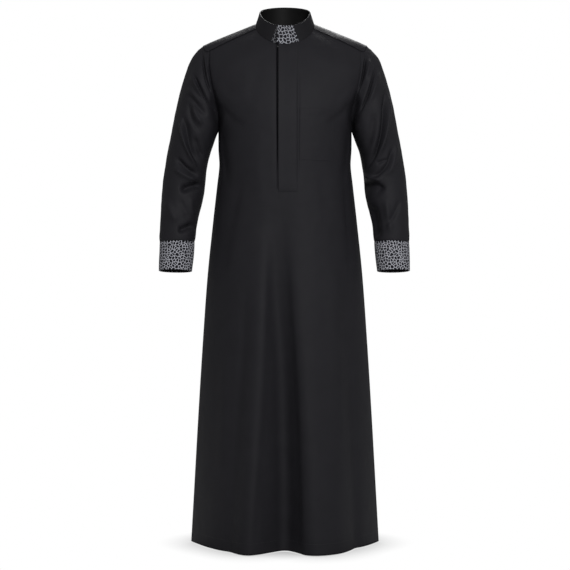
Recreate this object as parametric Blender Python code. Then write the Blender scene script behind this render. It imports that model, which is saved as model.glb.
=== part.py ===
"""A long black thobe with a stand collar, standing open and hollow as it hangs when worn.

The cloth pieces are walls on one garment form: a body that falls from the shoulders to a fluted
hem, and two sleeves that hang from the armholes. X runs towards the wearer's left, -Y is the
front, and the origin is between the shoulders, level with the foot of the collar's sides.
"""

import math
from collections import namedtuple

import bmesh
import bpy
from mathutils import Vector

# Driving sizes, in metres.
CLOTH = 0.0015  # wall of the shirting, interlining and turnings included
COLLAR_CLOTH = 0.0024  # the interlined collar
CUFF_CLOTH = 0.0020
SEAM_GAP = 0.0003
BODY_LENGTH = 1.3685  # foot of the collar's side to the hem
SHOULDER_SLOPE = 0.42  # fall of the shoulder line for each metre outwards
ARCH = 0.100  # the cloth has rolled over the shoulder this far below its ridge
ARMHOLE_TOP = 0.217  # the armhole seam on the shoulder ridge, from the middle
UNDERARM_Z = -0.285
YOKE_BACK_Z = -0.135

NECK_ROUNDING = 0.030
NECK_HALF_WIDTH, NECK_FRONT, NECK_BACK = 0.0768, 0.072, 0.056
RIM_HALF_WIDTH, RIM_FRONT, RIM_BACK = 0.0655, 0.063, 0.052
RIM_SIDE_Z, RIM_FRONT_DROP, RIM_BACK_RISE = 0.034, 0.049, 0.022
BAND_GAP = 0.0008  # the collar band stands this far above the neckline
END_GAP = 0.0024  # and its ends this far, clear of the placket
YOKE_NECK_ANGLE = 78  # where the yoke's front seam meets the neckline; 0 is the front

PLACKET_EDGE, PLACKET_STITCH = -0.017, 0.033
SLIT_SIDES = (0.0065, 0.0095)
PLACKET_FOOT_Z = -0.452
POCKET_SIDES, POCKET_TOP_Z, POCKET_FOOT_Z = (0.036, 0.126), -0.239, -0.370

LEFT_SLEEVE_IN = 0.0030  # the left cuff hangs this much nearer to the body than the right one

# The body's cross-sections. edge: the side seam, or the armhole above it, from the middle.
# width: where the section's oval would close. front, back: depth each way at the middle.
# corner: 2 closes the oval round, 1 closes it to a pressed crease at the side seam.
Station = namedtuple("Station", "z edge width front back corner")
BODY = [
    Station(0.0400, 0.2170, 0.2450, 0.0440, 0.1120, 2.00),
    Station(0.0000, 0.2170, 0.2450, 0.0520, 0.1160, 2.00),
    Station(-0.0570, 0.2170, 0.2450, 0.0710, 0.1180, 2.00),
    Station(-0.0640, 0.2060, 0.2445, 0.0745, 0.1180, 2.00),
    Station(-0.0731, 0.1990, 0.2440, 0.0785, 0.1180, 2.00),
    Station(-0.1120, 0.1985, 0.2400, 0.0950, 0.1190, 2.00),
    Station(-0.1350, 0.1965, 0.2340, 0.1040, 0.1195, 2.00),
    Station(-0.1730, 0.1910, 0.2220, 0.1160, 0.1200, 2.00),
    Station(-0.2000, 0.1845, 0.2115, 0.1220, 0.1195, 2.00),
    Station(-0.2260, 0.1785, 0.2010, 0.1270, 0.1190, 2.00),
    Station(-0.2550, 0.1750, 0.1880, 0.1300, 0.1180, 2.00),
    Station(-0.2850, 0.1765, 0.1765, 0.1310, 0.1170, 2.00),
    Station(-0.3320, 0.1762, 0.1762, 0.1300, 0.1140, 2.00),
    Station(-0.3720, 0.1738, 0.1738, 0.1290, 0.1110, 1.95),
    Station(-0.4280, 0.1798, 0.1798, 0.1275, 0.1080, 1.85),
    Station(-0.5230, 0.1905, 0.1905, 0.1290, 0.1090, 1.75),
    Station(-0.6660, 0.2052, 0.2052, 0.1390, 0.1180, 1.60),
    Station(-0.8570, 0.2188, 0.2188, 0.1600, 0.1380, 1.40),
    Station(-1.0480, 0.2305, 0.2305, 0.1850, 0.1620, 1.20),
    Station(-1.2386, 0.2412, 0.2412, 0.2160, 0.1840, 1.10),
    Station(-1.3685, 0.2485, 0.2485, 0.2370, 0.1960, 1.03),
]

# The skirt's flutes: each is a valley (depth over 0) or a ridge (under 0) that opens from top_z
# to the hem, where it has this depth and this half-width.
Flute = namedtuple("Flute", "side top_x hem_x top_z depth half_width")
FLUTES = [
    Flute("front", -0.006, -0.004, -0.430, 0.1000, 0.064),
    Flute("front", -0.095, -0.150, -0.480, 0.0090, 0.034),
    Flute("front", 0.150, 0.186, -0.420, 0.0080, 0.028),
    Flute("front", 0.110, 0.143, -0.450, -0.0050, 0.026),
    Flute("back", -0.055, -0.088, -0.400, 0.0420, 0.050),
    Flute("back", 0.050, 0.074, -0.520, 0.0480, 0.046),
    Flute("back", 0.130, 0.168, -0.600, 0.0100, 0.030),
    Flute("back", -0.132, -0.164, -0.580, 0.0090, 0.029),
]

# The sleeve's rings, from the armhole to the cuff. outer and inner: the ring's points furthest
# from and nearest to the body. depth: half its size from front to back. y: its middle.
# pitch: rise of its front edge for each metre of depth. oval: 0 armhole shape, 1 plain oval.
Ring = namedtuple("Ring", "outer_x outer_z inner_x inner_z depth y pitch oval")
SLEEVE = [
    Ring(0.2290, -0.0670, 0.1790, -0.2900, 0.0690, 0.000, 0.00, 0.10),
    Ring(0.2485, -0.0930, 0.1830, -0.3000, 0.0755, 0.000, 0.00, 0.30),
    Ring(0.2670, -0.1400, 0.1895, -0.3180, 0.0770, 0.000, 0.00, 0.60),
    Ring(0.2805, -0.1880, 0.1970, -0.3380, 0.0750, 0.001, 0.00, 0.85),
    Ring(0.2920, -0.2410, 0.2040, -0.3640, 0.0720, 0.003, 0.00, 1.00),
    Ring(0.3040, -0.3000, 0.2085, -0.3930, 0.0680, 0.005, 0.02, 1.00),
    Ring(0.3150, -0.3600, 0.2115, -0.4240, 0.0640, 0.005, 0.05, 1.00),
    Ring(0.3230, -0.4150, 0.2145, -0.4480, 0.0605, 0.002, 0.08, 1.00),
    Ring(0.3270, -0.4680, 0.2205, -0.4760, 0.0570, -0.004, 0.11, 1.00),
    Ring(0.3295, -0.5210, 0.2315, -0.5220, 0.0515, -0.012, 0.13, 1.00),
    Ring(0.3305, -0.5770, 0.2377, -0.5765, 0.0440, -0.022, 0.07, 1.00),
]
CUFF = [
    Ring(0.3300, -0.5773, 0.2385, -0.5768, 0.0430, -0.022, 0.07, 1.00),
    Ring(0.3305, -0.6140, 0.2410, -0.6140, 0.0415, -0.027, 0.08, 1.00),
    Ring(0.3310, -0.6530, 0.2445, -0.6540, 0.0405, -0.033, 0.10, 1.00),
]

# Front grid: columns kept at these places, then shares of the way out to the edge.
FRONT_COLUMNS = (0.036, 0.056, 0.068, 0.0763, 0.101, 0.126)
FRONT_OUTER_SHARES = (0.28, 0.54, 0.78, 1.0)
FRONT_ROWS_Z = (
    *(-1.3685, -1.270, -1.160, -1.050, -0.940, -0.830, -0.720, -0.610, -0.525),
    *(-0.452, -0.410, -0.370, -0.326, -0.285, -0.262, -0.239, -0.205),
    *(-0.173, -0.142, -0.112, -0.090, -0.0731),
)
BACK_ROWS_Z = (
    *(-1.3685, -1.260, -1.150, -1.040, -0.930, -0.820, -0.710, -0.600, -0.500),
    *(-0.410, -0.340, -0.285, -0.262, -0.239, -0.205, -0.173, -0.135),
)
BACK_CELLS_EACH_WAY = 9
YOKE_FRONT_CELLS, YOKE_ARMHOLE_CELLS = 2, 4
ROW_LIFT_FROM_Z = -0.239  # rows above this bend up towards the shoulder line

BLACK = ((0.018, 0.018, 0.020), 0.62)
PATTERNED = ((0.150, 0.155, 0.165), 0.70)


def mix(a, b, share):
    return a + (b - a) * share


def ease(share):
    share = min(1.0, max(0.0, share))
    return share * share * (3 - 2 * share)


def read(table, column, z):
    """The column's value at height z, on a smooth curve through the table's rows."""
    if z >= table[0].z:
        return getattr(table[0], column)
    if z <= table[-1].z:
        return getattr(table[-1], column)
    i = next(k for k in range(len(table) - 1) if table[k + 1].z <= z)
    before, a, b, after = (table[min(max(k, 0), len(table) - 1)] for k in range(i - 1, i + 3))
    span = b.z - a.z
    share = (z - a.z) / span
    va, vb = getattr(a, column), getattr(b, column)

    def slope(low, high):
        return (getattr(high, column) - getattr(low, column)) / (high.z - low.z) * span

    rise_a, rise_b = slope(before, b), slope(a, after)
    if (vb - va) * rise_a <= 0:
        rise_a = 0.0
    if (vb - va) * rise_b <= 0:
        rise_b = 0.0
    s2, s3 = share * share, share**3
    return (
        va * (2 * s3 - 3 * s2 + 1)
        + rise_a * (s3 - 2 * s2 + share)
        + vb * (3 * s2 - 2 * s3)
        + rise_b * (s3 - s2)
    )


# The body's form.


def ridge(x):
    """Height of the shoulder ridge, level across the back of the neck."""
    rounding = math.hypot(NECK_HALF_WIDTH, NECK_ROUNDING) - NECK_HALF_WIDTH
    return -SHOULDER_SLOPE * (math.hypot(x, NECK_ROUNDING) - rounding - NECK_HALF_WIDTH)


def roll_power(x):
    """How round the roll over the shoulder is: roof-like by the neck, round at the tip."""
    return mix(0.75, 0.5, ease((abs(x) - NECK_HALF_WIDTH) / (0.19 - NECK_HALF_WIDTH)))


def reach(x, z, side):
    """Depth of the body's oval at x, towards the front or the back, without the shoulder's roll."""
    t = min(1.0, abs(x) / read(BODY, "width", z))
    corner = read(BODY, "corner", z)
    oval = (1 - t ** mix(2.0, 2.3, corner - 1)) ** (1 / corner)
    depth = read(BODY, side, z) * oval
    for flute in FLUTES:
        if flute.side == side and z < flute.top_z:
            down = (flute.top_z - z) / (flute.top_z + BODY_LENGTH)
            middle = mix(flute.top_x, flute.hem_x, down)
            half = flute.half_width * mix(0.55, 1.0, down)
            depth -= flute.depth * down**1.25 * math.exp(-(((x - middle) / half) ** 2))
    return max(depth, 0.0)


def shell(x, s, side):
    """The form's point at x, and s along the cloth down from the shoulder ridge."""
    angle = min(s / ARCH, math.pi / 2)
    drop = ARCH * (1 - math.cos(angle)) + max(0.0, s - ARCH * math.pi / 2)
    z = ridge(x) - drop
    y = reach(x, z, side) * math.sin(angle) ** (2 * roll_power(x))
    return Vector((x, -y if side == "front" else y, z))


def down_to(x, z):
    """The s of the point at height z."""
    drop = max(0.0, ridge(x) - z)
    if drop >= ARCH:
        return ARCH * math.pi / 2 + drop - ARCH
    return ARCH * math.acos(1 - drop / ARCH)


def signed_shell(x, s):
    """As shell, with s over 0 on the front and under 0 on the back."""
    return shell(x, abs(s), "front" if s >= 0 else "back")


def wall_direction(x, s):
    """The way out of the cloth at a point of the body."""
    step = 0.0015
    inner_x = min(abs(x), read(BODY, "width", ridge(x) - abs(s)) - step)
    x = math.copysign(min(abs(x), inner_x + step), x)
    along = signed_shell(x + step, s) - signed_shell(x - step, s)
    down = signed_shell(x, s + step) - signed_shell(x, s - step)
    out = down.cross(along)
    return out.normalized()


def edge_x(z):
    return read(BODY, "edge", z)


def neck_angle_point(angle):
    """The neckline's point at an angle in degrees: 0 front, 90 the wearer's left, 180 back."""
    turn = math.radians(angle)
    x = NECK_HALF_WIDTH * math.sin(turn)
    front = math.cos(turn) >= 0
    side = "front" if front else "back"
    depth, power = (NECK_FRONT, 0.85) if front else (NECK_BACK, 0.9)
    y = depth * abs(math.cos(turn)) ** power
    low, high = 0.0, 0.2
    for _ in range(30):
        s = (low + high) / 2
        if abs(shell(x, s, side).y) < y:
            low = s
        else:
            high = s
    return x, s if front else -s


def neck_s(x):
    """The front neckline's s at x."""
    return neck_angle_point(math.degrees(math.asin(min(1.0, abs(x) / NECK_HALF_WIDTH))))[1]


YOKE_NECK_X, YOKE_NECK_S = neck_angle_point(YOKE_NECK_ANGLE)
FRONT_CORNER_X = edge_x(FRONT_ROWS_Z[-1])


def yoke_seam_z(x):
    """Height of the yoke's front seam."""
    share = (abs(x) - YOKE_NECK_X) / (FRONT_CORNER_X - YOKE_NECK_X)
    drop_neck = ridge(YOKE_NECK_X) - signed_shell(YOKE_NECK_X, YOKE_NECK_S).z
    return ridge(x) - mix(drop_neck, ridge(FRONT_CORNER_X) - FRONT_ROWS_Z[-1], share)


# Walls.


def material(name, finish):
    colour, roughness = finish
    made = bpy.data.materials.new(name)
    made.use_nodes = True
    shader = made.node_tree.nodes["Principled BSDF"]
    shader.inputs["Base Color"].default_value = (*colour, 1)
    shader.inputs["Roughness"].default_value = roughness
    shader.inputs["Metallic"].default_value = 0
    return made


def wall(name, outer, inner, finish, tube=False, cut=()):
    """A closed wall between two grids of points. tube joins the last column to the first.
    cut lists the cells, as (row, column), that are left open."""
    mesh = bmesh.new()
    faces_out = [[mesh.verts.new(p) for p in row] for row in outer]
    faces_in = [[mesh.verts.new(p) for p in row] for row in inner]
    rows, columns = len(outer), len(outer[0])
    cells = columns if tube else columns - 1
    kept = {(i, j) for i in range(rows - 1) for j in range(cells)} - set(cut)
    for i, j in sorted(kept):
        k = (j + 1) % columns
        corners = ((i, j), (i, k), (i + 1, k), (i + 1, j))
        for triangle in (corners[:3], (corners[2], corners[3], corners[0])):
            mesh.faces.new([faces_out[a][b] for a, b in triangle])
            mesh.faces.new([faces_in[a][b] for a, b in reversed(triangle)])
        sides = (
            ((i - 1, j), corners[0], corners[1]),
            ((i, (j + 1) % cells if tube else j + 1), corners[1], corners[2]),
            ((i + 1, j), corners[2], corners[3]),
            ((i, (j - 1) % cells if tube else j - 1), corners[3], corners[0]),
        )
        for neighbour, (a, b), (c, d) in sides:
            if neighbour not in kept:
                mesh.faces.new(
                    [faces_out[c][d], faces_out[a][b], faces_in[a][b], faces_in[c][d]]
                )
    loose = [v for v in mesh.verts if not v.link_faces]
    bmesh.ops.delete(mesh, geom=loose, context="VERTS")
    bmesh.ops.recalc_face_normals(mesh, faces=mesh.faces)
    data = bpy.data.meshes.new(name)
    mesh.to_mesh(data)
    mesh.free()
    data.shade_smooth()
    data.set_sharp_from_angle(angle=math.radians(35))
    made = bpy.data.objects.new(name, data)
    bpy.context.scene.collection.objects.link(made)
    data.materials.append(material(name + "_cloth", finish))
    return made


def on_body(places, out_by=0.0):
    """Points of the body's form at a grid of (x, s), moved out of the cloth by a distance."""
    return [[signed_shell(x, s) + wall_direction(x, s) * out_by for x, s in row] for row in places]


def press_side_seams(outer, inner, side):
    """Brings both faces of a panel's side edges onto the seam, just short of the other panel."""
    y = -SEAM_GAP / 2 if side == "front" else SEAM_GAP / 2
    for row_out, row_in in zip(outer, inner):
        if row_out[0].z > UNDERARM_Z + SEAM_GAP:
            continue
        for end in (0, -1):
            out = row_out[end]
            way = row_in[end] - out
            way.y = 0
            stretch = min(3.0, CLOTH / max(way.length, 1e-6))
            row_out[end] = Vector((out.x, y, out.z))
            row_in[end] = row_out[end] + way * stretch


# Front, with its slit.


def front_columns(edge):
    """The x of the front's columns, on a row whose edge is that far out."""
    inner = FRONT_COLUMNS[:-1]
    last = FRONT_COLUMNS[-1]
    outer = [mix(last, edge, share) for share in FRONT_OUTER_SHARES]
    right = sorted(-x for x in (*inner, last, *outer))
    middle = [PLACKET_EDGE, *SLIT_SIDES, PLACKET_STITCH]
    return [*right, *middle, *inner, last, *outer]


def front_places():
    """The front's grid of (x, s), from the hem up."""
    top_columns = front_columns(edge_x(FRONT_ROWS_Z[-1]))
    top_z = [
        signed_shell(x, neck_s(x)).z if abs(x) < YOKE_NECK_X else yoke_seam_z(x)
        for x in top_columns
    ]
    rows = []
    for z in FRONT_ROWS_Z:
        share = ease((z - ROW_LIFT_FROM_Z) / (FRONT_ROWS_Z[-1] - ROW_LIFT_FROM_Z))
        heights = [z + (top - FRONT_ROWS_Z[-1]) * share for top in top_z]
        rows.append([(x, down_to(x, h)) for x, h in zip(front_columns(edge_x(z)), heights)])
    rows[-1] = [(x, s + SEAM_GAP / 2) for x, s in rows[-1]]
    return rows


def column_of(places, x):
    return min(range(len(places[0])), key=lambda j: abs(places[0][j][0] - x))


def build_front(places):
    outer, inner = on_body(places), on_body(places, -CLOTH)
    press_side_seams(outer, inner, "front")
    slit = column_of(places, SLIT_SIDES[0])
    first = FRONT_ROWS_Z.index(PLACKET_FOOT_Z)
    cut = [(i, slit) for i in range(first + 1, len(places) - 1)]
    wall("front", outer, inner, BLACK, cut=cut)


def patch(name, places, rows, sides, near, far, finish=BLACK):
    """A piece that lies on the front, between two columns, from near to far out of its face."""
    first, last = column_of(places, sides[0]), column_of(places, sides[1])
    part = [places[i][first : last + 1] for i in rows]
    wall(name, on_body(part, far), on_body(part, near), finish)


def build_pieces_on_front(places):
    placket = range(FRONT_ROWS_Z.index(PLACKET_FOOT_Z), len(places))
    pocket = range(FRONT_ROWS_Z.index(POCKET_FOOT_Z), FRONT_ROWS_Z.index(POCKET_TOP_Z) + 1)
    over = (PLACKET_EDGE, PLACKET_STITCH)
    patch("placket_over", places, placket, over, SEAM_GAP, SEAM_GAP + CLOTH)
    behind = -CLOTH - SEAM_GAP
    patch("placket_under", places, placket, over, behind - CLOTH, behind)
    patch("pocket", places, pocket, POCKET_SIDES, SEAM_GAP, SEAM_GAP + CLOTH)


# Back and yoke.


def back_places():
    cells = BACK_CELLS_EACH_WAY
    shares = [k / cells for k in range(-cells, cells + 1)]
    rows = []
    for z in BACK_ROWS_Z:
        edge = edge_x(z)
        rows.append([(edge * u, -down_to(edge * u, z)) for u in shares])
    rows[-1] = [(x, s - SEAM_GAP / 2) for x, s in rows[-1]]
    return rows


def build_back(places):
    outer, inner = on_body(places), on_body(places, -CLOTH)
    press_side_seams(outer, inner, "back")
    wall("back", outer, inner, BLACK)


def yoke_half():
    """Pairs of (neckline place, outer place) from the front seam round to the middle back."""
    front_s = down_to(FRONT_CORNER_X, FRONT_ROWS_Z[-1])
    corner_z = YOKE_BACK_Z
    pairs = []
    for k in range(YOKE_FRONT_CELLS + 1):
        share = k / YOKE_FRONT_CELLS
        angle = mix(YOKE_NECK_ANGLE, 90, share)
        s = front_s * (1 - share)
        x = mix(ARMHOLE_TOP, FRONT_CORNER_X, (s / front_s) ** 2)
        pairs.append((neck_angle_point(angle), (x, s)))
    for k in range(1, YOKE_ARMHOLE_CELLS + 1):
        share = k / YOKE_ARMHOLE_CELLS
        z = mix(ridge(ARMHOLE_TOP), corner_z, share**1.7)
        x = edge_x(z)
        pairs.append((neck_angle_point(mix(90, 118, share)), (x, -down_to(x, z))))
    corner_x = edge_x(corner_z)
    for k in range(1, BACK_CELLS_EACH_WAY + 1):
        share = k / BACK_CELLS_EACH_WAY
        x = corner_x * (1 - share)
        pairs.append((neck_angle_point(mix(118, 180, share)), (x, -down_to(x, corner_z))))
    return pairs


def yoke_shares(front):
    """How far out each row of the yoke is, so that its front seam meets the front's columns."""
    columns = [x for x, _ in front[-1] if x > YOKE_NECK_X - 0.0005]
    return [(x - columns[0]) / (columns[-1] - columns[0]) for x in columns]


def build_yoke(front):
    half = yoke_half()
    mirrored = [tuple((-x, s) for x, s in pair) for pair in reversed(half[:-1])]
    pairs = [*half, *mirrored]
    shares = yoke_shares(front)
    back_first, back_last = YOKE_FRONT_CELLS + YOKE_ARMHOLE_CELLS, len(pairs) - 1
    back_last -= YOKE_FRONT_CELLS + YOKE_ARMHOLE_CELLS
    rows = []
    for share in shares:
        row = []
        for k, ((neck_x, neck), (out_x, out)) in enumerate(pairs):
            x, s = mix(neck_x, out_x, share), mix(neck, out, share)
            if k in (0, len(pairs) - 1):
                s = down_to(x, yoke_seam_z(x)) - SEAM_GAP / 2
            elif back_first <= k <= back_last and share == 1:
                s += SEAM_GAP / 2
            row.append((x, s))
        rows.append(row)
    wall("yoke", on_body(rows), on_body(rows, -CLOTH), BLACK)
    return half


# Sleeves and cuffs.


def armhole(front, back, half_yoke):
    """The armhole's points on the wearer's left, round from the underarm by the front."""
    first = FRONT_ROWS_Z.index(UNDERARM_Z)
    up_front = [signed_shell(*row[-1]) for row in front[first:]]
    over = [signed_shell(*half_yoke[k][1]) for k in range(1, YOKE_FRONT_CELLS + YOKE_ARMHOLE_CELLS)]
    first = BACK_ROWS_Z.index(UNDERARM_Z)
    down_back = [signed_shell(*row[-1]) for row in reversed(back[first:])]
    underarm = Vector((edge_x(UNDERARM_Z), 0, UNDERARM_Z))
    return [underarm, *up_front[1:], *over, *down_back[:-1]]


def unit_shape(points):
    """Each point of the armhole as (along, forward) shares of its ring, and what is left over."""
    top = max(points, key=lambda p: p.z)
    foot = min(points, key=lambda p: p.z)
    middle, half = (top + foot) / 2, (top - foot) / 2
    depth = max(abs(p.y) for p in points)
    shape = []
    for p in points:
        along = (p - middle).xz.dot(half.xz) / half.xz.length_squared
        rest = (p - middle).xz - half.xz * along
        shape.append((along, -(p - middle).y / depth, rest))
    return shape


def ring_points(ring, shape, sway):
    """A ring's points, from the armhole's shape eased into an oval."""
    middle = Vector(((ring.outer_x + ring.inner_x) / 2, (ring.outer_z + ring.inner_z) / 2))
    half = Vector((ring.outer_x, ring.outer_z)) - middle
    out_by = sway * ease(-(middle.y + 0.15) / 0.45)
    points = []
    for along, forward, rest in shape:
        turn = math.atan2(forward, along)
        along = mix(along, math.cos(turn), ring.oval)
        forward = mix(forward, math.sin(turn), ring.oval)
        place = middle + half * along + rest * (1 - ring.oval)
        rise = ring.pitch * ring.depth * forward
        points.append(
            Vector((place.x + out_by, ring.y - ring.depth * forward, place.y + rise))
        )
    return points


def thinner(rings, by):
    """The same tube, moved in towards its middle by the cloth's thickness."""
    inner = []
    for ring in rings:
        middle = sum(ring, Vector()) / len(ring)
        moved = []
        for k, p in enumerate(ring):
            chord = ring[(k + 1) % len(ring)] - ring[k - 1]
            inward = middle - p
            inward -= chord * (inward.dot(chord) / chord.length_squared)
            moved.append(p + inward.normalized() * by)
        inner.append(moved)
    return inner


def build_sleeve(side, points, sway):
    """side is 1 for the wearer's left and -1 for the right."""
    shape = unit_shape(points)
    name = "left" if side > 0 else "right"
    head = [p + Vector((SEAM_GAP * 1.5, 0, 0)) for p in points]
    tubes = (
        ("sleeve_", [head, *(ring_points(r, shape, sway) for r in SLEEVE)], CLOTH, BLACK),
        ("cuff_", [ring_points(r, shape, sway) for r in CUFF], CUFF_CLOTH, PATTERNED),
    )
    for piece, rings, thick, finish in tubes:
        flip = [[Vector((p.x * side, p.y, p.z)) for p in ring] for ring in rings]
        wall(piece + name, flip, thinner(flip, thick), finish, tube=True)


# Collar.


def rim_point(angle):
    turn = math.radians(angle)
    front = math.cos(turn) >= 0
    depth = RIM_FRONT if front else RIM_BACK
    rise = RIM_FRONT_DROP if front else RIM_BACK_RISE
    return Vector(
        (
            RIM_HALF_WIDTH * math.sin(turn),
            -depth * math.cos(turn),
            RIM_SIDE_Z - rise * math.cos(turn),
        )
    )


def collar_point(foot_angle, rim_angle, height, gap, out_by):
    """A point of the collar: height runs from 0 at the neckline to 1 at the rim."""
    foot = signed_shell(*neck_angle_point(foot_angle)) + Vector((0, 0, gap))
    rim = rim_point(rim_angle)
    place = foot.lerp(rim, height)
    outward = Vector((place.x, place.y, 0)).normalized()
    return place + outward * out_by


def neck_angles(front, half_yoke):
    """Angles of the neckline's own corners, from the front's middle round to the back."""
    xs = [x for x, _ in front[-1] if 0 < x < YOKE_NECK_X - 0.0005]
    on_front = [math.degrees(math.asin(x / NECK_HALF_WIDTH)) for x in xs]
    on_yoke = [math.degrees(math.asin(min(1, half_yoke[k][0][0] / NECK_HALF_WIDTH)))
               for k in range(YOKE_FRONT_CELLS + 1)]
    cells = YOKE_ARMHOLE_CELLS
    behind = [mix(90, 118, k / cells) for k in range(1, cells + 1)]
    cells = BACK_CELLS_EACH_WAY
    behind += [mix(118, 180, k / cells) for k in range(1, cells + 1)]
    return [*on_front, *on_yoke, *behind]


# The patterned ends: the seams that join them to the band slant from foot to rim.
END_FOOT_X, END_RIM_X = FRONT_COLUMNS[0], 0.021
OVER_EDGE_FOOT_X, OVER_EDGE_RIM_X = -0.0216, -0.0208
UNDER_TIP = 6.0  # degrees past the middle that the under end runs, behind the over end
LAP_FROM, LAP_TO = 8.0, 15.0  # the over end lifts clear of the under end between these angles
COLLAR_ROWS = (0.0, 0.35, 0.7, 1.0)


def angle_of(x, half_width):
    return math.degrees(math.asin(x / half_width))


END_FOOT = angle_of(END_FOOT_X, NECK_HALF_WIDTH)
END_RIM = angle_of(END_RIM_X, RIM_HALF_WIDTH)


def collar_wall(name, columns, finish, gap, lap=lambda angle: 0.0):
    """columns lists (foot angle, rim angle). The wall runs inwards from its outer face."""
    outer, inner = [], []
    for height in COLLAR_ROWS:
        places = [(foot, rim, lap(mix(foot, rim, height))) for foot, rim in columns]
        half = COLLAR_CLOTH / 2
        outer.append([collar_point(f, r, height, gap, out + half) for f, r, out in places])
        inner.append([collar_point(f, r, height, gap, out - half) for f, r, out in places])
    wall(name, outer, inner, finish)


def build_collar(front, half_yoke):
    gap = math.degrees(2 * SEAM_GAP / NECK_HALF_WIDTH)
    plain_from = 60.0

    def band_rim(foot):
        share = max(0.0, (plain_from - foot) / (plain_from - END_FOOT))
        return mix(foot, END_RIM + foot - END_FOOT, ease(share)) if share else foot

    half = [a for a in neck_angles(front, half_yoke) if a >= END_FOOT - 0.01]
    half[0] += gap / 2
    left = [(a, band_rim(a)) for a in half]
    right = [(360 - foot, 360 - rim) for foot, rim in reversed(left[:-1])]
    collar_wall("collar_band", [*left, *right], BLACK, BAND_GAP)

    lift = COLLAR_CLOTH + 2 * SEAM_GAP

    def lap(angle):
        return lift * ease((LAP_TO - angle) / (LAP_TO - LAP_FROM))

    def spread(a, b, shares):
        return [(mix(a[0], b[0], share), mix(a[1], b[1], share)) for share in shares]

    over_edge = (
        angle_of(OVER_EDGE_FOOT_X, NECK_HALF_WIDTH),
        angle_of(OVER_EDGE_RIM_X, RIM_HALF_WIDTH),
    )
    tip = (UNDER_TIP, UNDER_TIP)
    lapped = spread(over_edge, tip, (0, 0.25, 0.5, 0.75, 1))
    left_seam = (END_FOOT - gap / 2, END_RIM - gap / 2)
    right_seam = (-left_seam[0], -left_seam[1])
    beyond = spread(tip, left_seam, (0.15, 0.3, 0.45, 0.6, 0.8, 1))
    collar_wall("collar_end_over", [*lapped, *beyond], PATTERNED, END_GAP, lap)
    collar_wall("collar_end_under", [right_seam, *lapped[1:]], PATTERNED, END_GAP)


def main():
    for old in list(bpy.data.objects):
        bpy.data.objects.remove(old)
    front, back = front_places(), back_places()
    build_front(front)
    build_pieces_on_front(front)
    build_back(back)
    half_yoke = build_yoke(front)
    points = armhole(front, back, half_yoke)
    build_sleeve(1, points, -LEFT_SLEEVE_IN)
    build_sleeve(-1, points, 0.0)
    build_collar(front, half_yoke)


main()
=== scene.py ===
import math
from collections import namedtuple

import bmesh
import bpy
import numpy as np
from mathutils import Matrix, Vector, noise


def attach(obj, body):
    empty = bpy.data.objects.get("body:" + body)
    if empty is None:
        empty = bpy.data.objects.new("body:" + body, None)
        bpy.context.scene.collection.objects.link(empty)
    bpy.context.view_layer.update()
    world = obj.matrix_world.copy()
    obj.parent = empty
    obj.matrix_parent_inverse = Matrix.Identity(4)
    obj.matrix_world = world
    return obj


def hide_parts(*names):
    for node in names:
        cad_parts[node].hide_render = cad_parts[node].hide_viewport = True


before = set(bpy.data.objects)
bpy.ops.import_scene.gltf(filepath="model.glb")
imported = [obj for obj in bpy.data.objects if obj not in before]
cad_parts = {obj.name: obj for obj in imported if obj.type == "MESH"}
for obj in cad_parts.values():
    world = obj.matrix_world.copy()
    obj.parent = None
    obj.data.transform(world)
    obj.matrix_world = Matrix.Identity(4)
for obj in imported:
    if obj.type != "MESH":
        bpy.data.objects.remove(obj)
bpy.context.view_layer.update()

# ---- Front panel ----------------------------------------------------------------------------
# One panel of black plain-weave suiting, from the yoke seam to the hem. It is cut flared, so the
# skirt falls in flutes, and it is sewn to the back down the sides and hemmed at the foot.

# Cross-sections of the worn body, in metres. edge: the side seam, or the armhole above it.
# width: where the section's oval would close. corner: 2 closes it round, 1 to a pressed crease.
Station = namedtuple("Station", "z edge width front back corner")
BODY = (
    Station(0.0400, 0.2170, 0.2450, 0.0440, 0.1120, 2.00),
    Station(0.0000, 0.2170, 0.2450, 0.0520, 0.1160, 2.00),
    Station(-0.0570, 0.2170, 0.2450, 0.0710, 0.1180, 2.00),
    Station(-0.0640, 0.2060, 0.2445, 0.0745, 0.1180, 2.00),
    Station(-0.0731, 0.1990, 0.2440, 0.0785, 0.1180, 2.00),
    Station(-0.1120, 0.1985, 0.2400, 0.0950, 0.1190, 2.00),
    Station(-0.1350, 0.1965, 0.2340, 0.1040, 0.1195, 2.00),
    Station(-0.1730, 0.1910, 0.2220, 0.1160, 0.1200, 2.00),
    Station(-0.2000, 0.1845, 0.2115, 0.1220, 0.1195, 2.00),
    Station(-0.2260, 0.1785, 0.2010, 0.1270, 0.1190, 2.00),
    Station(-0.2550, 0.1750, 0.1880, 0.1300, 0.1180, 2.00),
    Station(-0.2850, 0.1765, 0.1765, 0.1310, 0.1170, 2.00),
    Station(-0.3320, 0.1762, 0.1762, 0.1300, 0.1140, 2.00),
    Station(-0.3720, 0.1738, 0.1738, 0.1290, 0.1110, 1.95),
    Station(-0.4280, 0.1798, 0.1798, 0.1275, 0.1080, 1.85),
    Station(-0.5230, 0.1905, 0.1905, 0.1290, 0.1090, 1.75),
    Station(-0.6660, 0.2052, 0.2052, 0.1390, 0.1180, 1.60),
    Station(-0.8570, 0.2188, 0.2188, 0.1600, 0.1380, 1.40),
    Station(-1.0480, 0.2305, 0.2305, 0.1850, 0.1620, 1.20),
    Station(-1.2386, 0.2412, 0.2412, 0.2160, 0.1840, 1.10),
    Station(-1.3685, 0.2485, 0.2485, 0.2370, 0.1960, 1.03),
)
HEM_Z, UNDERARM_Z, ARMHOLE_TOP = -1.3685, -0.285, 0.217
SHOULDER_SLOPE, ARCH, NECK_ROUNDING = 0.42, 0.100, 0.030
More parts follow.
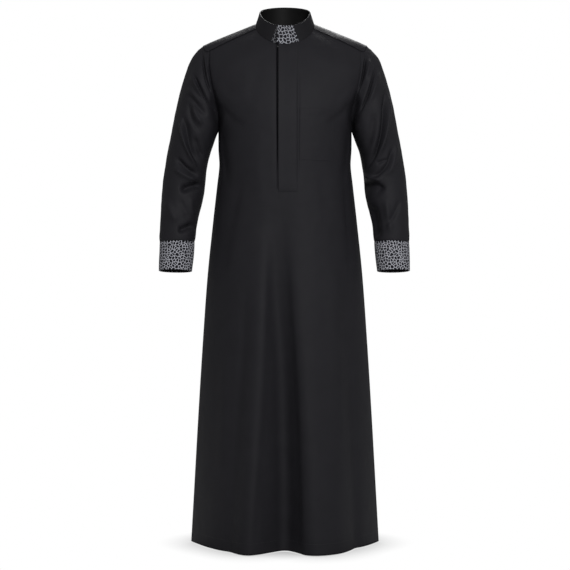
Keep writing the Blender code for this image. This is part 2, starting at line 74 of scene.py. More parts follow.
ROLL_AT_NECK, ROLL_AT_SHOULDER, SHOULDER_X = 0.75, 0.5, 0.19
NECK_HALF_WIDTH, NECK_FRONT, NECK_BACK = 0.0768, 0.072, 0.056
NECK_FRONT_POWER, NECK_BACK_POWER, DEEPEST_NECK, HALVINGS = 0.85, 0.9, 0.2, 30
YOKE_NECK_ANGLE, YOKE_CORNER_Z, ROW_LIFT_FROM_Z = 78, -0.0731, -0.239
CREASED_POWER, ROUND_POWER = 2.0, 2.3  # of a section's curve, for a corner of 1 and of 2

# The skirt's flutes open from top_z to the hem: valleys over 0 deep, ridges under 0. half_width
# is at the hem, and each starts FLUTE_START as wide.
Flute = namedtuple("Flute", "side top_x hem_x top_z depth half_width")
FLUTES = (
    Flute("front", -0.006, -0.004, -0.430, 0.1000, 0.064),
    Flute("front", -0.095, -0.150, -0.480, 0.0090, 0.034),
    Flute("front", 0.150, 0.186, -0.420, 0.0080, 0.028),
    Flute("front", 0.110, 0.143, -0.450, -0.0050, 0.026),
    Flute("back", -0.055, -0.088, -0.400, 0.0420, 0.050),
    Flute("back", 0.050, 0.074, -0.520, 0.0480, 0.046),
    Flute("back", 0.130, 0.168, -0.600, 0.0100, 0.030),
    Flute("back", -0.132, -0.164, -0.580, 0.0090, 0.029),
)
FLUTE_START, FLUTE_OPENING, FLUTE_LIMIT = 0.55, 1.25, 1.1


def mix(a, b, share):
    return a + (b - a) * share


def ease(share):
    share = np.clip(share, 0, 1)
    return share * share * (3 - 2 * share)


def rise(value, low, high):
    """0 at low, 1 at high, flat beyond both and smooth between. low may be the greater."""
    return ease((value - low) / (high - low))


def hump(share):
    """1 at 0, falling away smoothly to next to nothing at 2 and -2."""
    return np.exp(-(share**2))


def read(rows, heights, column, at):
    """A column of a table at each height, on a smooth curve through the table's rows."""
    heights = np.array(heights)
    values = np.array([getattr(row, column) for row in rows])
    if heights[0] > heights[-1]:
        heights, values = heights[::-1], values[::-1]
    at = np.clip(at, heights[0], heights[-1])
    low = np.clip(np.searchsorted(heights, at) - 1, 0, len(heights) - 2)
    high = low + 1
    before, after = np.maximum(low - 1, 0), np.minimum(high + 1, len(heights) - 1)
    span = heights[high] - heights[low]
    share = (at - heights[low]) / span
    step = values[high] - values[low]
    rise_low = (values[high] - values[before]) / (heights[high] - heights[before]) * span
    rise_high = (values[after] - values[low]) / (heights[after] - heights[low]) * span
    rise_low = np.where(step * rise_low > 0, rise_low, 0)
    rise_high = np.where(step * rise_high > 0, rise_high, 0)
    s2, s3 = share**2, share**3
    curve = values[low] * (2 * s3 - 3 * s2 + 1) + values[high] * (3 * s2 - 2 * s3)
    return curve + rise_low * (s3 - 2 * s2 + share) + rise_high * (s3 - s2)


def body(column, z):
    return read(BODY, [row.z for row in BODY], column, z)


def ridge(x):
    """Height of the shoulder ridge, level across the back of the neck."""
    rounding = math.hypot(NECK_HALF_WIDTH, NECK_ROUNDING) - NECK_HALF_WIDTH
    return -SHOULDER_SLOPE * (np.hypot(x, NECK_ROUNDING) - rounding - NECK_HALF_WIDTH)


def reach(x, z, side):
    """Depth of the body's section at x, before the cloth rolls in over the shoulder."""
    t = np.minimum(1, np.abs(x) / body("width", z))
    corner = body("corner", z)
    power = mix(CREASED_POWER, ROUND_POWER, corner - 1)
    depth = body(side, z) * (1 - t**power) ** (1 / corner)
    for flute in FLUTES:
        if flute.side == side:
            down = np.clip((flute.top_z - z) / (flute.top_z - HEM_Z), 0, FLUTE_LIMIT)
            half = flute.half_width * mix(FLUTE_START, 1, down)
            middle = mix(flute.top_x, flute.hem_x, down)
            depth -= flute.depth * down**FLUTE_OPENING * hump((x - middle) / half)
    return np.maximum(depth, 0)


def form(x, s):
    """Points of the worn body at x, and s along the cloth down from the shoulder ridge: over 0
    on the front, under 0 on the back."""
    x, s = np.broadcast_arrays(np.asarray(x, float), np.asarray(s, float))
    angle = np.minimum(np.abs(s) / ARCH, math.pi / 2)
    z = ridge(x) - ARCH * (1 - np.cos(angle)) - np.maximum(0, np.abs(s) - ARCH * math.pi / 2)
    power = mix(ROLL_AT_NECK, ROLL_AT_SHOULDER, rise(np.abs(x), NECK_HALF_WIDTH, SHOULDER_X))
    roll = np.sin(angle) ** (2 * power)
    y = np.where(s >= 0, -reach(x, z, "front"), reach(x, z, "back")) * roll
    return np.stack([x, y, z], axis=-1)


def down_to(x, z):
    """How far down the cloth the height z is."""
    drop = np.maximum(0, ridge(x) - z)
    rolled = ARCH * np.arccos(1 - np.minimum(drop, ARCH) / ARCH)
    return rolled + np.maximum(0, drop - ARCH)


def unit(vectors):
    return vectors / np.maximum(np.linalg.norm(vectors, axis=-1, keepdims=True), 1e-9)


def outward(x, s):
    """The way out of the body's cloth."""
    step = 0.0015
    limit = body("width", ridge(x) - np.abs(s)) - 2 * step
    x = np.clip(x, -limit, limit)
    across = form(x + step, s) - form(x - step, s)
    down = form(x, s + step) - form(x, s - step)
    return unit(np.cross(down, across))


def neckline(angle):
    """x and s of the neckline at angles in degrees: 0 front, 90 the wearer's left, 180 back."""
    turn = np.radians(angle)
    x = NECK_HALF_WIDTH * np.sin(turn)
    front = np.cos(turn) >= 0
    power = np.where(front, NECK_FRONT_POWER, NECK_BACK_POWER)
    y = np.where(front, NECK_FRONT, NECK_BACK) * np.abs(np.cos(turn)) ** power
    way = np.where(front, 1, -1)
    low, high = np.zeros_like(x), np.full_like(x, DEEPEST_NECK)
    for _ in range(HALVINGS):
        middle = (low + high) / 2
        short = np.abs(form(x, way * middle)[..., 1]) < y
        low, high = np.where(short, middle, low), np.where(short, high, middle)
    return x, way * (low + high) / 2


YOKE_NECK_X, YOKE_NECK_S = (float(v) for v in neckline(np.array(float(YOKE_NECK_ANGLE))))
YOKE_CORNER_X = float(body("edge", YOKE_CORNER_Z))


def yoke_seam_z(x):
    """Height of the seam between the front and the yoke."""
    share = (np.abs(x) - YOKE_NECK_X) / (YOKE_CORNER_X - YOKE_NECK_X)
    drop_neck = ridge(YOKE_NECK_X) - form(YOKE_NECK_X, YOKE_NECK_S)[2]
    return ridge(x) - mix(drop_neck, ridge(YOKE_CORNER_X) - YOKE_CORNER_Z, share)


# Creases, each along its route in x and z as seen square on. lift is over 0 for a ridge and
# under 0 for a trough. left and right are its widths, to each side of the way it runs, in
# metres, with right being the side of larger x where it runs down. Each dies away at its ends,
# over CREASE_END of its length.
Crease = namedtuple("Crease", "lift left right route")
CREASE_END = 0.28
FRONT_CREASES = (
    # the skirt's front, from the middle outwards
    Crease(-0.008, 0.022, 0.019, ((-0.03, -0.46), (-0.03, -0.62), (-0.018, -0.78), (-0.004, -0.95),
        (0.001, -1.2), (0.002, -1.6))),
    Crease(0.005, 0.026, 0.013, ((-0.041, -0.5), (-0.053, -0.7), (-0.061, -0.92), (-0.071, -1.1),
        (-0.092, -1.31), (-0.1, -1.6))),
    Crease(0.0082, 0.014, 0.024, ((0.006, -0.48), (0.028, -0.75), (0.038, -0.88), (0.044, -0.97),
        (0.052, -1.14), (0.06, -1.6))),
    Crease(-0.0045, 0.01, 0.017, ((-0.097, -0.62), (-0.107, -0.84), (-0.118, -0.97), (-0.14, -1.28),
        (-0.16, -1.6))),
    Crease(0.0035, 0.014, 0.01, ((-0.15, -0.84), (-0.155, -1.01), (-0.165, -1.2))),
    Crease(0.0035, 0.02, 0.012, ((0.128, -0.6), (0.137, -0.82), (0.142, -1.12))),
    Crease(-0.005, 0.013, 0.009, ((0.166, -0.8), (0.177, -1.05), (0.187, -1.35), (0.19, -1.6))),
    Crease(-0.0032, 0.009, 0.014, ((0.155, -0.38), (0.164, -0.52), (0.172, -0.7))),
    Crease(-0.0036, 0.026, 0.014, ((-0.104, -0.36), (-0.14, -0.53), (-0.176, -0.7))),
    Crease(0.0022, 0.02, 0.03, ((-0.02, -1.02), (-0.026, -1.2), (-0.01, -1.6))),
    # the chest and waist
    Crease(-0.0036, 0.006, 0.012, ((-0.173, -0.27), (-0.164, -0.33), (-0.15, -0.44))),
    Crease(-0.0038, 0.012, 0.006, ((0.173, -0.268), (0.166, -0.33), (0.155, -0.43))),
    Crease(-0.0018, 0.004, 0.003, ((0.034, -0.1), (0.0345, -0.22), (0.0345, -0.34), (0.033, -0.46))),
    Crease(-0.0034, 0.012, 0.008, ((-0.176, -0.215), (-0.14, -0.262), (-0.096, -0.285))),
    Crease(-0.0036, 0.008, 0.013, ((0.178, -0.206), (0.148, -0.25), (0.104, -0.276))),
    Crease(0.0016, 0.01, 0.016, ((0.184, -0.17), (0.16, -0.205), (0.128, -0.225))),
    Crease(0.0016, 0.016, 0.01, ((-0.186, -0.16), (-0.158, -0.2), (-0.118, -0.226))),
    Crease(-0.0014, 0.016, 0.022, ((-0.06, -0.115), (-0.082, -0.17), (-0.09, -0.24))),
    Crease(0.002, 0.018, 0.018, ((-0.06, -0.27), (-0.07, -0.37), (-0.06, -0.5))),
    Crease(-0.0018, 0.014, 0.018, ((0.095, -0.39), (0.102, -0.46), (0.116, -0.56))),
)
# the back, in the same manner
BACK_CREASES = (
    Crease(-0.0048, 0.014, 0.02, ((-0.045, -0.42), (-0.058, -0.66), (-0.072, -0.94), (-0.086, -1.24),
        (-0.092, -1.6))),
    Crease(0.0042, 0.016, 0.024, ((-0.01, -0.55), (-0.02, -0.8), (-0.026, -1.08), (-0.024, -1.6))),
    Crease(-0.005, 0.018, 0.012, ((0.044, -0.5), (0.054, -0.76), (0.066, -1.04), (0.078, -1.6))),
    Crease(0.004, 0.014, 0.018, ((0.09, -0.58), (0.108, -0.86), (0.118, -1.22), (0.122, -1.6))),
    Crease(0.0036, 0.018, 0.012, ((-0.116, -0.66), (-0.13, -0.92), (-0.14, -1.2))),
    Crease(-0.004, 0.01, 0.014, ((-0.158, -0.74), (-0.172, -1.0), (-0.184, -1.6))),
    Crease(-0.0036, 0.012, 0.007, ((0.17, -0.272), (0.156, -0.34), (0.138, -0.46))),
    Crease(-0.0034, 0.007, 0.012, ((-0.17, -0.275), (-0.158, -0.35), (-0.144, -0.44))),
    Crease(-0.0022, 0.012, 0.016, ((0.172, -0.205), (0.128, -0.256), (0.07, -0.282))),
    Crease(-0.002, 0.016, 0.012, ((-0.172, -0.215), (-0.12, -0.262), (-0.064, -0.278))),
    Crease(0.0022, 0.02, 0.016, ((0.012, -0.33), (0.004, -0.43), (0.01, -0.54))),
)


def crease_lift(creases, x, z):
    """How far a side's creases lift the cloth."""
    lift = np.zeros_like(x)
    for crease in creases:
        route = np.array(crease.route)
        for _ in range(2):
            cut = np.stack([mix(route[:-1], route[1:], 0.25), mix(route[:-1], route[1:], 0.75)], 1)
            route = np.concatenate([route[:1], cut.reshape(-1, 2), route[-1:]])
        runs = np.diff(route, axis=0)
        lengths = np.linalg.norm(runs, axis=1)
        starts = np.concatenate([[0], np.cumsum(lengths)[:-1]]) / lengths.sum()
        near = np.full_like(x, np.inf)
        across, share = np.zeros_like(x), np.zeros_like(x)
        for begin, run, length, start in zip(route, runs, lengths, starts):
            dx, dz = x - begin[0], z - begin[1]
            t = np.clip((dx * run[0] + dz * run[1]) / length**2, 0, 1)
            away = np.hypot(dx - t * run[0], dz - t * run[1])
            closer = away < near
            near = np.where(closer, away, near)
            turn = run[0] * dz - run[1] * dx
            across = np.where(closer, np.sign(turn) * away, across)
            share = np.where(closer, start + t * length / lengths.sum(), share)
        width = np.where(across < 0, crease.left, crease.right)
        ends = ease(share / CREASE_END) * ease((1 - share) / CREASE_END)
        lift += crease.lift * hump(across / width) * ends
    return lift


FINER, FINER_SHARE = 3.1, 0.4


def slack(points, size=0.0009, grain=16.0):
    """The cloth's own unevenness: a coarse one, and a finer one on it."""

    def at(place):
        return noise.noise(place) + FINER_SHARE * noise.noise(place * FINER)

    uneven = [size * at(Vector(p) * grain) for p in points.reshape(-1, 3)]
    return np.array(uneven).reshape(points.shape[:-1])


# The armhole seam lies in a groove, which is deep where the sleeve folds under at the armpit.
Groove = namedtuple("Groove", "z depth width")
GROOVES = (
    Groove(-0.285, 0.0080, 0.0060),
    Groove(-0.262, 0.0290, 0.0090),
    Groove(-0.225, 0.0270, 0.0080),
    Groove(-0.190, 0.0090, 0.0045),
    Groove(-0.120, 0.0036, 0.0019),
    Groove(-0.085, 0.0030, 0.0018),
    Groove(-0.060, 0.0003, 0.0018),
)
GROOVE_TOP_Z, GROOVE_TURN, GROOVE_BACK, LEFT_FLATTER = -0.057, 0.030, 0.4, 0.35
SEAM_FLAT, RIDGE_FLAT = 0.012, 0.05  # how near the seams and the shoulder ridge creases end


def groove_depth(points, from_seam):
    """How far back the cloth lies at a distance from the armhole seam. Above the armpit, the
    wearer's left seam lies flatter than the right. It is less deep on the back."""
    x, y, z = points[..., 0], points[..., 1], points[..., 2]
    heights = [row.z for row in GROOVES]
    depth, width = (read(GROOVES, heights, column, z) for column in ("depth", "width"))
    flatter = np.where(x > 0, mix(1, LEFT_FLATTER, rise(z, -0.205, -0.175)), 1)
    turned = np.clip(-y / GROOVE_TURN, -GROOVE_BACK, 1)
    return depth * flatter * turned * hump(from_seam / width)


def body_cloth(x, s, out_by=0.0):
    """Points of the body's cloth with its creases, moved out of it by a distance."""
    points = form(x, s)
    z = points[..., 2]
    inward = body("edge", z) - np.abs(x)
    front, back = (crease_lift(creases, x, z) for creases in (FRONT_CREASES, BACK_CREASES))
    lift = np.where(s >= 0, front, back) + slack(points)
    lift *= ease(inward / SEAM_FLAT) * ease(np.abs(s) / RIDGE_FLAT)
    points = points + outward(x, s) * (lift + out_by)[..., None]
    beside_armhole = (z > UNDERARM_Z) & (z < GROOVE_TOP_Z)
    points[..., 1] += np.where(beside_armhole, groove_depth(points, inward), 0)
    return points


def crowded(share, at, width, times):
    """Shares from -1 to 1, moved closer together near one place."""
    even = np.linspace(-1, 1, 401)
    density = 1 + times * hump((even - at) / width)
    run = np.cumsum(density) - density[0]
    return np.interp(share, run / run[-1] * 2 - 1, even)


def as_piece(name, shape):
    """An object of a finished shape, smooth all over."""
    mesh = bpy.data.meshes.new(name)
    shape.to_mesh(mesh)
    shape.free()
    mesh.shade_smooth()
    piece = bpy.data.objects.new(name, mesh)
    bpy.context.scene.collection.objects.link(piece)
    return piece


def cloth_sheet(name, columns, rows, place, cut, tube=False, spread=None):
    """A sheet of small squares. place gives its points for shares across and up, and cut is its
    flat width and height, which its map of the weave follows. spread may move its columns."""
    sheet = bmesh.new()
    bmesh.ops.create_grid(sheet, x_segments=columns, y_segments=rows, size=1)
    across = np.array([(v.co.x + 1) / 2 for v in sheet.verts])
    across = across if spread is None else spread(across)
    up = np.array([(v.co.y + 1) / 2 for v in sheet.verts])
    weave = sheet.loops.layers.uv.new("cut")
    for face in sheet.faces:
        for loop in face.loops:
            i = loop.vert.index
            loop[weave].uv = (across[i] * cut[0], up[i] * cut[1])
    for vert, point in zip(sheet.verts, place(across, up)):
        vert.co = point
    if tube:
        bmesh.ops.remove_doubles(sheet, verts=sheet.verts, dist=1e-5)
    return as_piece(name, sheet)


def give_wall(piece, thickness, inwards=1.0):
    """Thickens a sheet: inwards 1 keeps its outer face, 0 keeps its middle."""
    wall = piece.modifiers.new("wall", "SOLIDIFY")
    wall.thickness = thickness
    wall.offset = -inwards
    wall.use_rim = True


class Wire:
    """A value on its way through a material's nodes, so that shader sums read as sums."""

    def __init__(self, finish, socket):
        self.finish = finish
        self.socket = socket

    def sum(self, operation, first, second=0.0):
        settings = {"operation": operation}
        return self.finish.node("ShaderNodeMath", settings, {0: first, 1: second})

    def __add__(self, other):
        return self.sum("ADD", self, other)

    def __rsub__(self, other):
        return self.sum("SUBTRACT", other, self)

    def __mul__(self, other):
        return self.sum("MULTIPLY", self, other)

    def sine(self):
        return self.sum("SINE", self)

    def beside(self, output):
        """Another output of the same node."""
        return Wire(self.finish, self.socket.node.outputs[output])

    __radd__ = __add__
    __rmul__ = __mul__


class Finish:
    """A material, and the one way that nodes are added to it."""

    def __init__(self, name, constants):
        self.material = bpy.data.materials.new(name)
        self.material.use_nodes = True
        self.shader = self.material.node_tree.nodes["Principled BSDF"]
        for socket, value in constants.items():
            self.shader.inputs[socket].default_value = value

    def join(self, socket, value):
        if isinstance(value, Wire):
            self.material.node_tree.links.new(value.socket, socket)
        else:
            socket.default_value = value

    def node(self, kind, settings, sockets, output=0):
        made = self.material.node_tree.nodes.new(kind)
        for setting, value in settings.items():
            setattr(made, setting, value)
        for key, value in sockets.items():
            self.join(made.inputs[key], value)
        return Wire(self, made.outputs[output])

    def blend(self, share, first, second):
        sockets = {0: share, 6: (*first, 1), 7: (*second, 1)}
        return self.node("ShaderNodeMix", {"data_type": "RGBA"}, sockets, output=2)

    def show(self, **varying):
        for socket, value in varying.items():
            self.join(self.shader.inputs[socket.replace("_", " ")], value)


THREAD_PITCH = 0.00052


def weave_height(finish, pitch):
    """The over and under of a plain weave, on the sheet's own map, and that map."""
    cut_map = finish.node("ShaderNodeUVMap", {"uv_map": "cut"}, {})
    across = finish.node("ShaderNodeSeparateXYZ", {}, {0: cut_map})
    turn = 2 * math.pi / pitch
    return (turn * across).sine() * (turn * across.beside(1)).sine(), cut_map


def noise_of(finish, place, scale, detail=2.0):
    sockets = {"Vector": place, "Scale": scale, "Detail": detail}
    return finish.node("ShaderNodeTexNoise", {}, sockets)


def raised(finish, height, distance, strength):
    sockets = {"Height": height, "Distance": distance, "Strength": strength}
    return finish.node("ShaderNodeBump", {}, sockets)


def black_suiting(name, dark, light):
    """Matt black cloth, its threads a little uneven in shade and height."""
    finish = Finish(name, {"Specular IOR Level": 0.12})
    weave, cut_map = weave_height(finish, THREAD_PITCH)
    slub = noise_of(finish, cut_map, 900.0)
    cloud = noise_of(finish, cut_map, 22.0, detail=4.0)
    shade = 0.45 * slub + 0.55 * cloud
    finish.show(
        Base_Color=finish.blend(shade, dark, light),
        Roughness=0.14 * shade + 0.56,
        Normal=raised(finish, 0.5 * weave + 0.6 * slub, 0.00022, 0.35),
    )
    return finish.material


BLACK_SUITING = black_suiting("black_suiting", (0.0100, 0.0097, 0.0118), (0.0166, 0.0161, 0.0193))


def dress(piece, node, finish):
    """Gives a sheet its cloth, lets it ride on the garment, and stands it in for its solid."""
    piece.data.materials.append(finish)
    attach(piece, "root")
    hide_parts(node)


CLOTH = 0.0009
FRONT_COLUMNS, FRONT_ROWS, NECK_COLUMN = 150, 236, 27
NECK_SHARE = NECK_COLUMN / (FRONT_COLUMNS / 2)
FRONT_CUT, FRONT_AREA = (0.640, 1.330), 0.754
PLACKET_EDGE, PLACKET_STITCH, PLACKET_FOOT_Z = -0.017, 0.033, -0.452
# The slit under the placket's free edge, and the shallow hollow that the cloth makes about it.
SLIT_X, SLIT_DEPTH, SLIT_FOOT_Z, SLIT_SHALLOW = -0.0190, 0.0090, -0.42, 0.3
SLIT_WIDTH_TOP, SLIT_WIDTH_FOOT = 0.0030, 0.0018
HOLLOW_DEPTH, HOLLOW_WIDTH = 0.0015, 0.008


def front_spread(across):
    """More columns at the slit, so that it can have sharp sides."""
    share = across * 2 - 1
    inside = np.clip(share / NECK_SHARE, -1, 1)
    moved = crowded(inside, SLIT_X / YOKE_NECK_X, 0.09, 4) * NECK_SHARE
    return (np.where(np.abs(share) < NECK_SHARE, moved, share) + 1) / 2


def front_place(across, up):
    share = across * 2 - 1
    far = np.abs(share)
    neck_turn = math.asin(YOKE_NECK_X / YOKE_CORNER_X) / (math.pi / 2)
    inner = far / NECK_SHARE * neck_turn
    outer = mix(neck_turn, 1, (far - NECK_SHARE) / (1 - NECK_SHARE))
    out = np.sin(np.where(far < NECK_SHARE, inner, outer) * math.pi / 2) * np.sign(share)
    level = mix(HEM_Z, YOKE_CORNER_Z, up)
    x = out * body("edge", level)
    top_x = out * YOKE_CORNER_X
    neck_x = np.clip(np.abs(top_x), 0, YOKE_NECK_X)
    neck = neckline(np.degrees(np.arcsin(neck_x / NECK_HALF_WIDTH)))
    neck_z = form(neck_x, neck[1])[:, 2]
    top_z = np.where(np.abs(top_x) < YOKE_NECK_X, neck_z, yoke_seam_z(top_x))
    z = level + (top_z - YOKE_CORNER_Z) * rise(level, ROW_LIFT_FROM_Z, YOKE_CORNER_Z)
    width = mix(SLIT_WIDTH_FOOT, SLIT_WIDTH_TOP, rise(z, SLIT_FOOT_Z, -0.07))
    slit = SLIT_DEPTH * rise(np.abs(x - SLIT_X) / width, 1.4, 0.4)
    slit *= mix(SLIT_SHALLOW, 1, rise(z, SLIT_FOOT_Z, -0.30))
    slit *= rise(z, PLACKET_FOOT_Z, PLACKET_FOOT_Z + 0.012)
    hollow = HOLLOW_DEPTH * hump((x - SLIT_X) / HOLLOW_WIDTH)
    hollow *= rise(z, PLACKET_FOOT_Z, PLACKET_FOOT_Z + 0.1)
    return body_cloth(x, down_to(x, z), -slit - hollow)


front = cloth_sheet(
    "front_cloth", FRONT_COLUMNS, FRONT_ROWS, front_place, FRONT_CUT, spread=front_spread
)
give_wall(front, CLOTH)
dress(front, "front", BLACK_SUITING)

# ---- Back panel -----------------------------------------------------------------------------
# One panel of the same suiting, from the yoke seam across the shoulder blades to the hem. Its
# side edges are sewn to the front's, and pressed to a crease from the hip down.

BACK_COLUMNS, BACK_ROWS = 116, 210
BACK_TOP_Z = -0.135
BACK_CUT, BACK_AREA = (0.610, 1.236), 0.662


def back_place(across, up):
    out = np.sin((1 - across * 2) * math.pi / 2)
    z = mix(HEM_Z, BACK_TOP_Z, up)
    x = out * body("edge", z)
    return body_cloth(x, -down_to(x, z))


back = cloth_sheet("back_cloth", BACK_COLUMNS, BACK_ROWS, back_place, BACK_CUT)
give_wall(back, CLOTH)
dress(back, "back", BLACK_SUITING)

# ---- Yoke -----------------------------------------------------------------------------------
# A doubled panel of the suiting over both shoulders. Its front seams are rolled forward of the
# shoulder and lap over the front, and its back seam laps over the back.

YOKE_CELLS = (10, 22, 46)  # along half of it: the front seam, the armhole, the back
YOKE_SHARES = 44
YOKE_LAP, YOKE_OUT, YOKE_CLOTH = 0.0040, 0.0008, 0.0008
YOKE_CUT, YOKE_AREA = (0.560, 0.190), 0.083
BACK_NECK_ANGLE = 118


def yoke_edges(along):
    """x and s of the neckline and of the outer edge, for shares round half of the yoke."""
    ends = np.cumsum(YOKE_CELLS) / sum(YOKE_CELLS)
    first = np.clip(along / ends[0], 0, 1)
    second = np.clip((along - ends[0]) / (ends[1] - ends[0]), 0, 1)
    third = np.clip((along - ends[1]) / (1 - ends[1]), 0, 1)
    angle = mix(YOKE_NECK_ANGLE, 90, first) + (BACK_NECK_ANGLE - 90) * second
    neck_x, neck_s = neckline(angle + (180 - BACK_NECK_ANGLE) * third)
    corner_s = float(down_to(YOKE_CORNER_X, YOKE_CORNER_Z))
    front_x = mix(ARMHOLE_TOP, YOKE_CORNER_X, (1 - first) ** 2)
    z = mix(float(ridge(ARMHOLE_TOP)), BACK_TOP_Z, second**1.7)
    back_x = body("edge", z) * (1 - third)
    over = along <= ends[0]
    out_x = np.where(over, front_x, back_x)
    out_s = np.where(over, corner_s * (1 - first), -down_to(out_x, z))
    return neck_x, neck_s, out_x, out_s, first, third


def yoke_place(across, up):
    half = across < 0.5
    neck_x, neck_s, out_x, out_s, first, third = yoke_edges(1 - np.abs(across * 2 - 1))
    x, s = mix(neck_x, out_x, up), mix(neck_s, out_s, up)
    seam_s = down_to(x, yoke_seam_z(x)) + YOKE_LAP
    s = mix(seam_s, s, rise(first, 0, 0.9))
    s = s - YOKE_LAP * rise(up, 0.8, 1) * rise(third, 0, 0.05)
    at_armhole = rise(first, 0.5, 1) * rise(third, 0.06, 0)
    out_by = YOKE_OUT * (1 - at_armhole * rise(up, 0.82, 1))
    return body_cloth(np.where(half, x, -x), s, out_by)


yoke = cloth_sheet("yoke_cloth", 2 * sum(YOKE_CELLS), YOKE_SHARES, yoke_place, YOKE_CUT)
give_wall(yoke, YOKE_CLOTH)
dress(yoke, "yoke", BLACK_SUITING)

# ---- Sleeves --------------------------------------------------------------------------------
# Two long sleeves of the suiting, each one piece with an underarm seam, eased into the armhole.
# They hang with a soft bend at the elbow, where the cloth breaks into creases.

# Rings from the armhole to the cuff. outer and inner: the points furthest from and nearest to
# the body. pitch: rise of the front edge with depth. oval: 0 armhole shape, 1 plain oval.
Ring = namedtuple("Ring", "outer_x outer_z inner_x inner_z depth y pitch oval")
SLEEVE = (
    Ring(0.2290, -0.0670, 0.1790, -0.2900, 0.0690, 0.000, 0.00, 0.10),
    Ring(0.2485, -0.0930, 0.1830, -0.3000, 0.0755, 0.000, 0.00, 0.30),
    Ring(0.2670, -0.1400, 0.1895, -0.3180, 0.0770, 0.000, 0.00, 0.60),
    Ring(0.2805, -0.1880, 0.1970, -0.3380, 0.0750, 0.001, 0.00, 0.85),
    Ring(0.2920, -0.2410, 0.2040, -0.3640, 0.0720, 0.003, 0.00, 1.00),
    Ring(0.3040, -0.3000, 0.2085, -0.3930, 0.0680, 0.005, 0.02, 1.00),
    Ring(0.3150, -0.3600, 0.2115, -0.4240, 0.0640, 0.005, 0.05, 1.00),
    Ring(0.3230, -0.4150, 0.2145, -0.4480, 0.0605, 0.002, 0.08, 1.00),
    Ring(0.3270, -0.4680, 0.2205, -0.4760, 0.0570, -0.004, 0.11, 1.00),
    Ring(0.3295, -0.5210, 0.2315, -0.5220, 0.0515, -0.012, 0.13, 1.00),
    Ring(0.3305, -0.5770, 0.2377, -0.5765, 0.0440, -0.022, 0.07, 1.00),
)
RIGHT_SLEEVE_FRONT = (
    Crease(-0.0064, 0.0028, 0.0028, ((-0.219, -0.07), (-0.217, -0.09), (-0.211, -0.128), (-0.206, -0.154),
        (-0.199, -0.172), (-0.188, -0.202))),
    Crease(0.0041, 0.004, 0.003, ((-0.209, -0.078), (-0.207, -0.112), (-0.201, -0.15))),
    Crease(0.0062, 0.006, 0.0024, ((-0.246, -0.138), (-0.239, -0.153), (-0.225, -0.184),
        (-0.21, -0.209))),
    Crease(-0.0088, 0.0024, 0.005, ((-0.241, -0.138), (-0.228, -0.167), (-0.217, -0.187), (-0.204, -0.21),
        (-0.182, -0.24))),
    Crease(-0.0056, 0.006, 0.007, ((-0.262, -0.192), (-0.236, -0.211), (-0.223, -0.231), (-0.2, -0.252))),
    Crease(0.0041, 0.006, 0.005, ((-0.255, -0.172), (-0.235, -0.197), (-0.212, -0.226))),
    Crease(-0.0056, 0.006, 0.011, ((-0.252, -0.206), (-0.247, -0.25), (-0.238, -0.27), (-0.216, -0.296))),
    Crease(0.0054, 0.008, 0.006, ((-0.243, -0.222), (-0.232, -0.25), (-0.212, -0.276))),
    Crease(0.0098, 0.006, 0.003, ((-0.271, -0.246), (-0.268, -0.28), (-0.26, -0.318), (-0.248, -0.352),
        (-0.226, -0.392))),
    Crease(-0.01, 0.003, 0.016, ((-0.266, -0.244), (-0.26, -0.29), (-0.252, -0.326), (-0.238, -0.356),
        (-0.22, -0.38))),
    Crease(-0.0062, 0.008, 0.006, ((-0.236, -0.3), (-0.226, -0.33), (-0.212, -0.362))),
    Crease(-0.01, 0.007, 0.007, ((-0.29, -0.352), (-0.262, -0.384), (-0.222, -0.406))),
    Crease(0.0062, 0.007, 0.006, ((-0.296, -0.378), (-0.264, -0.405), (-0.222, -0.42))),
    Crease(-0.015, 0.009, 0.01, ((-0.278, -0.444), (-0.255, -0.437), (-0.233, -0.431), (-0.21, -0.425))),
    Crease(0.0054, 0.01, 0.01, ((-0.312, -0.462), (-0.303, -0.49), (-0.28, -0.53))),
    Crease(-0.0115, 0.007, 0.009, ((-0.282, -0.551), (-0.259, -0.543), (-0.233, -0.532))),
    Crease(-0.0028, 0.01, 0.006, ((-0.276, -0.462), (-0.262, -0.49), (-0.25, -0.524))),
    Crease(0.0041, 0.008, 0.008, ((-0.244, -0.456), (-0.246, -0.486), (-0.238, -0.516))),
)
RIGHT_SLEEVE_BACK = (
    Crease(-0.0055, 0.006, 0.008, ((-0.25, -0.15), (-0.226, -0.2), (-0.196, -0.25))),
    Crease(0.0053, 0.008, 0.007, ((-0.272, -0.21), (-0.262, -0.27), (-0.236, -0.33))),
    Crease(-0.0059, 0.005, 0.008, ((-0.3, -0.33), (-0.272, -0.372), (-0.226, -0.4))),
    Crease(-0.0053, 0.005, 0.008, ((-0.312, -0.412), (-0.27, -0.436), (-0.222, -0.446))),
    Crease(0.0042, 0.01, 0.01, ((-0.296, -0.45), (-0.29, -0.5), (-0.274, -0.55))),
)
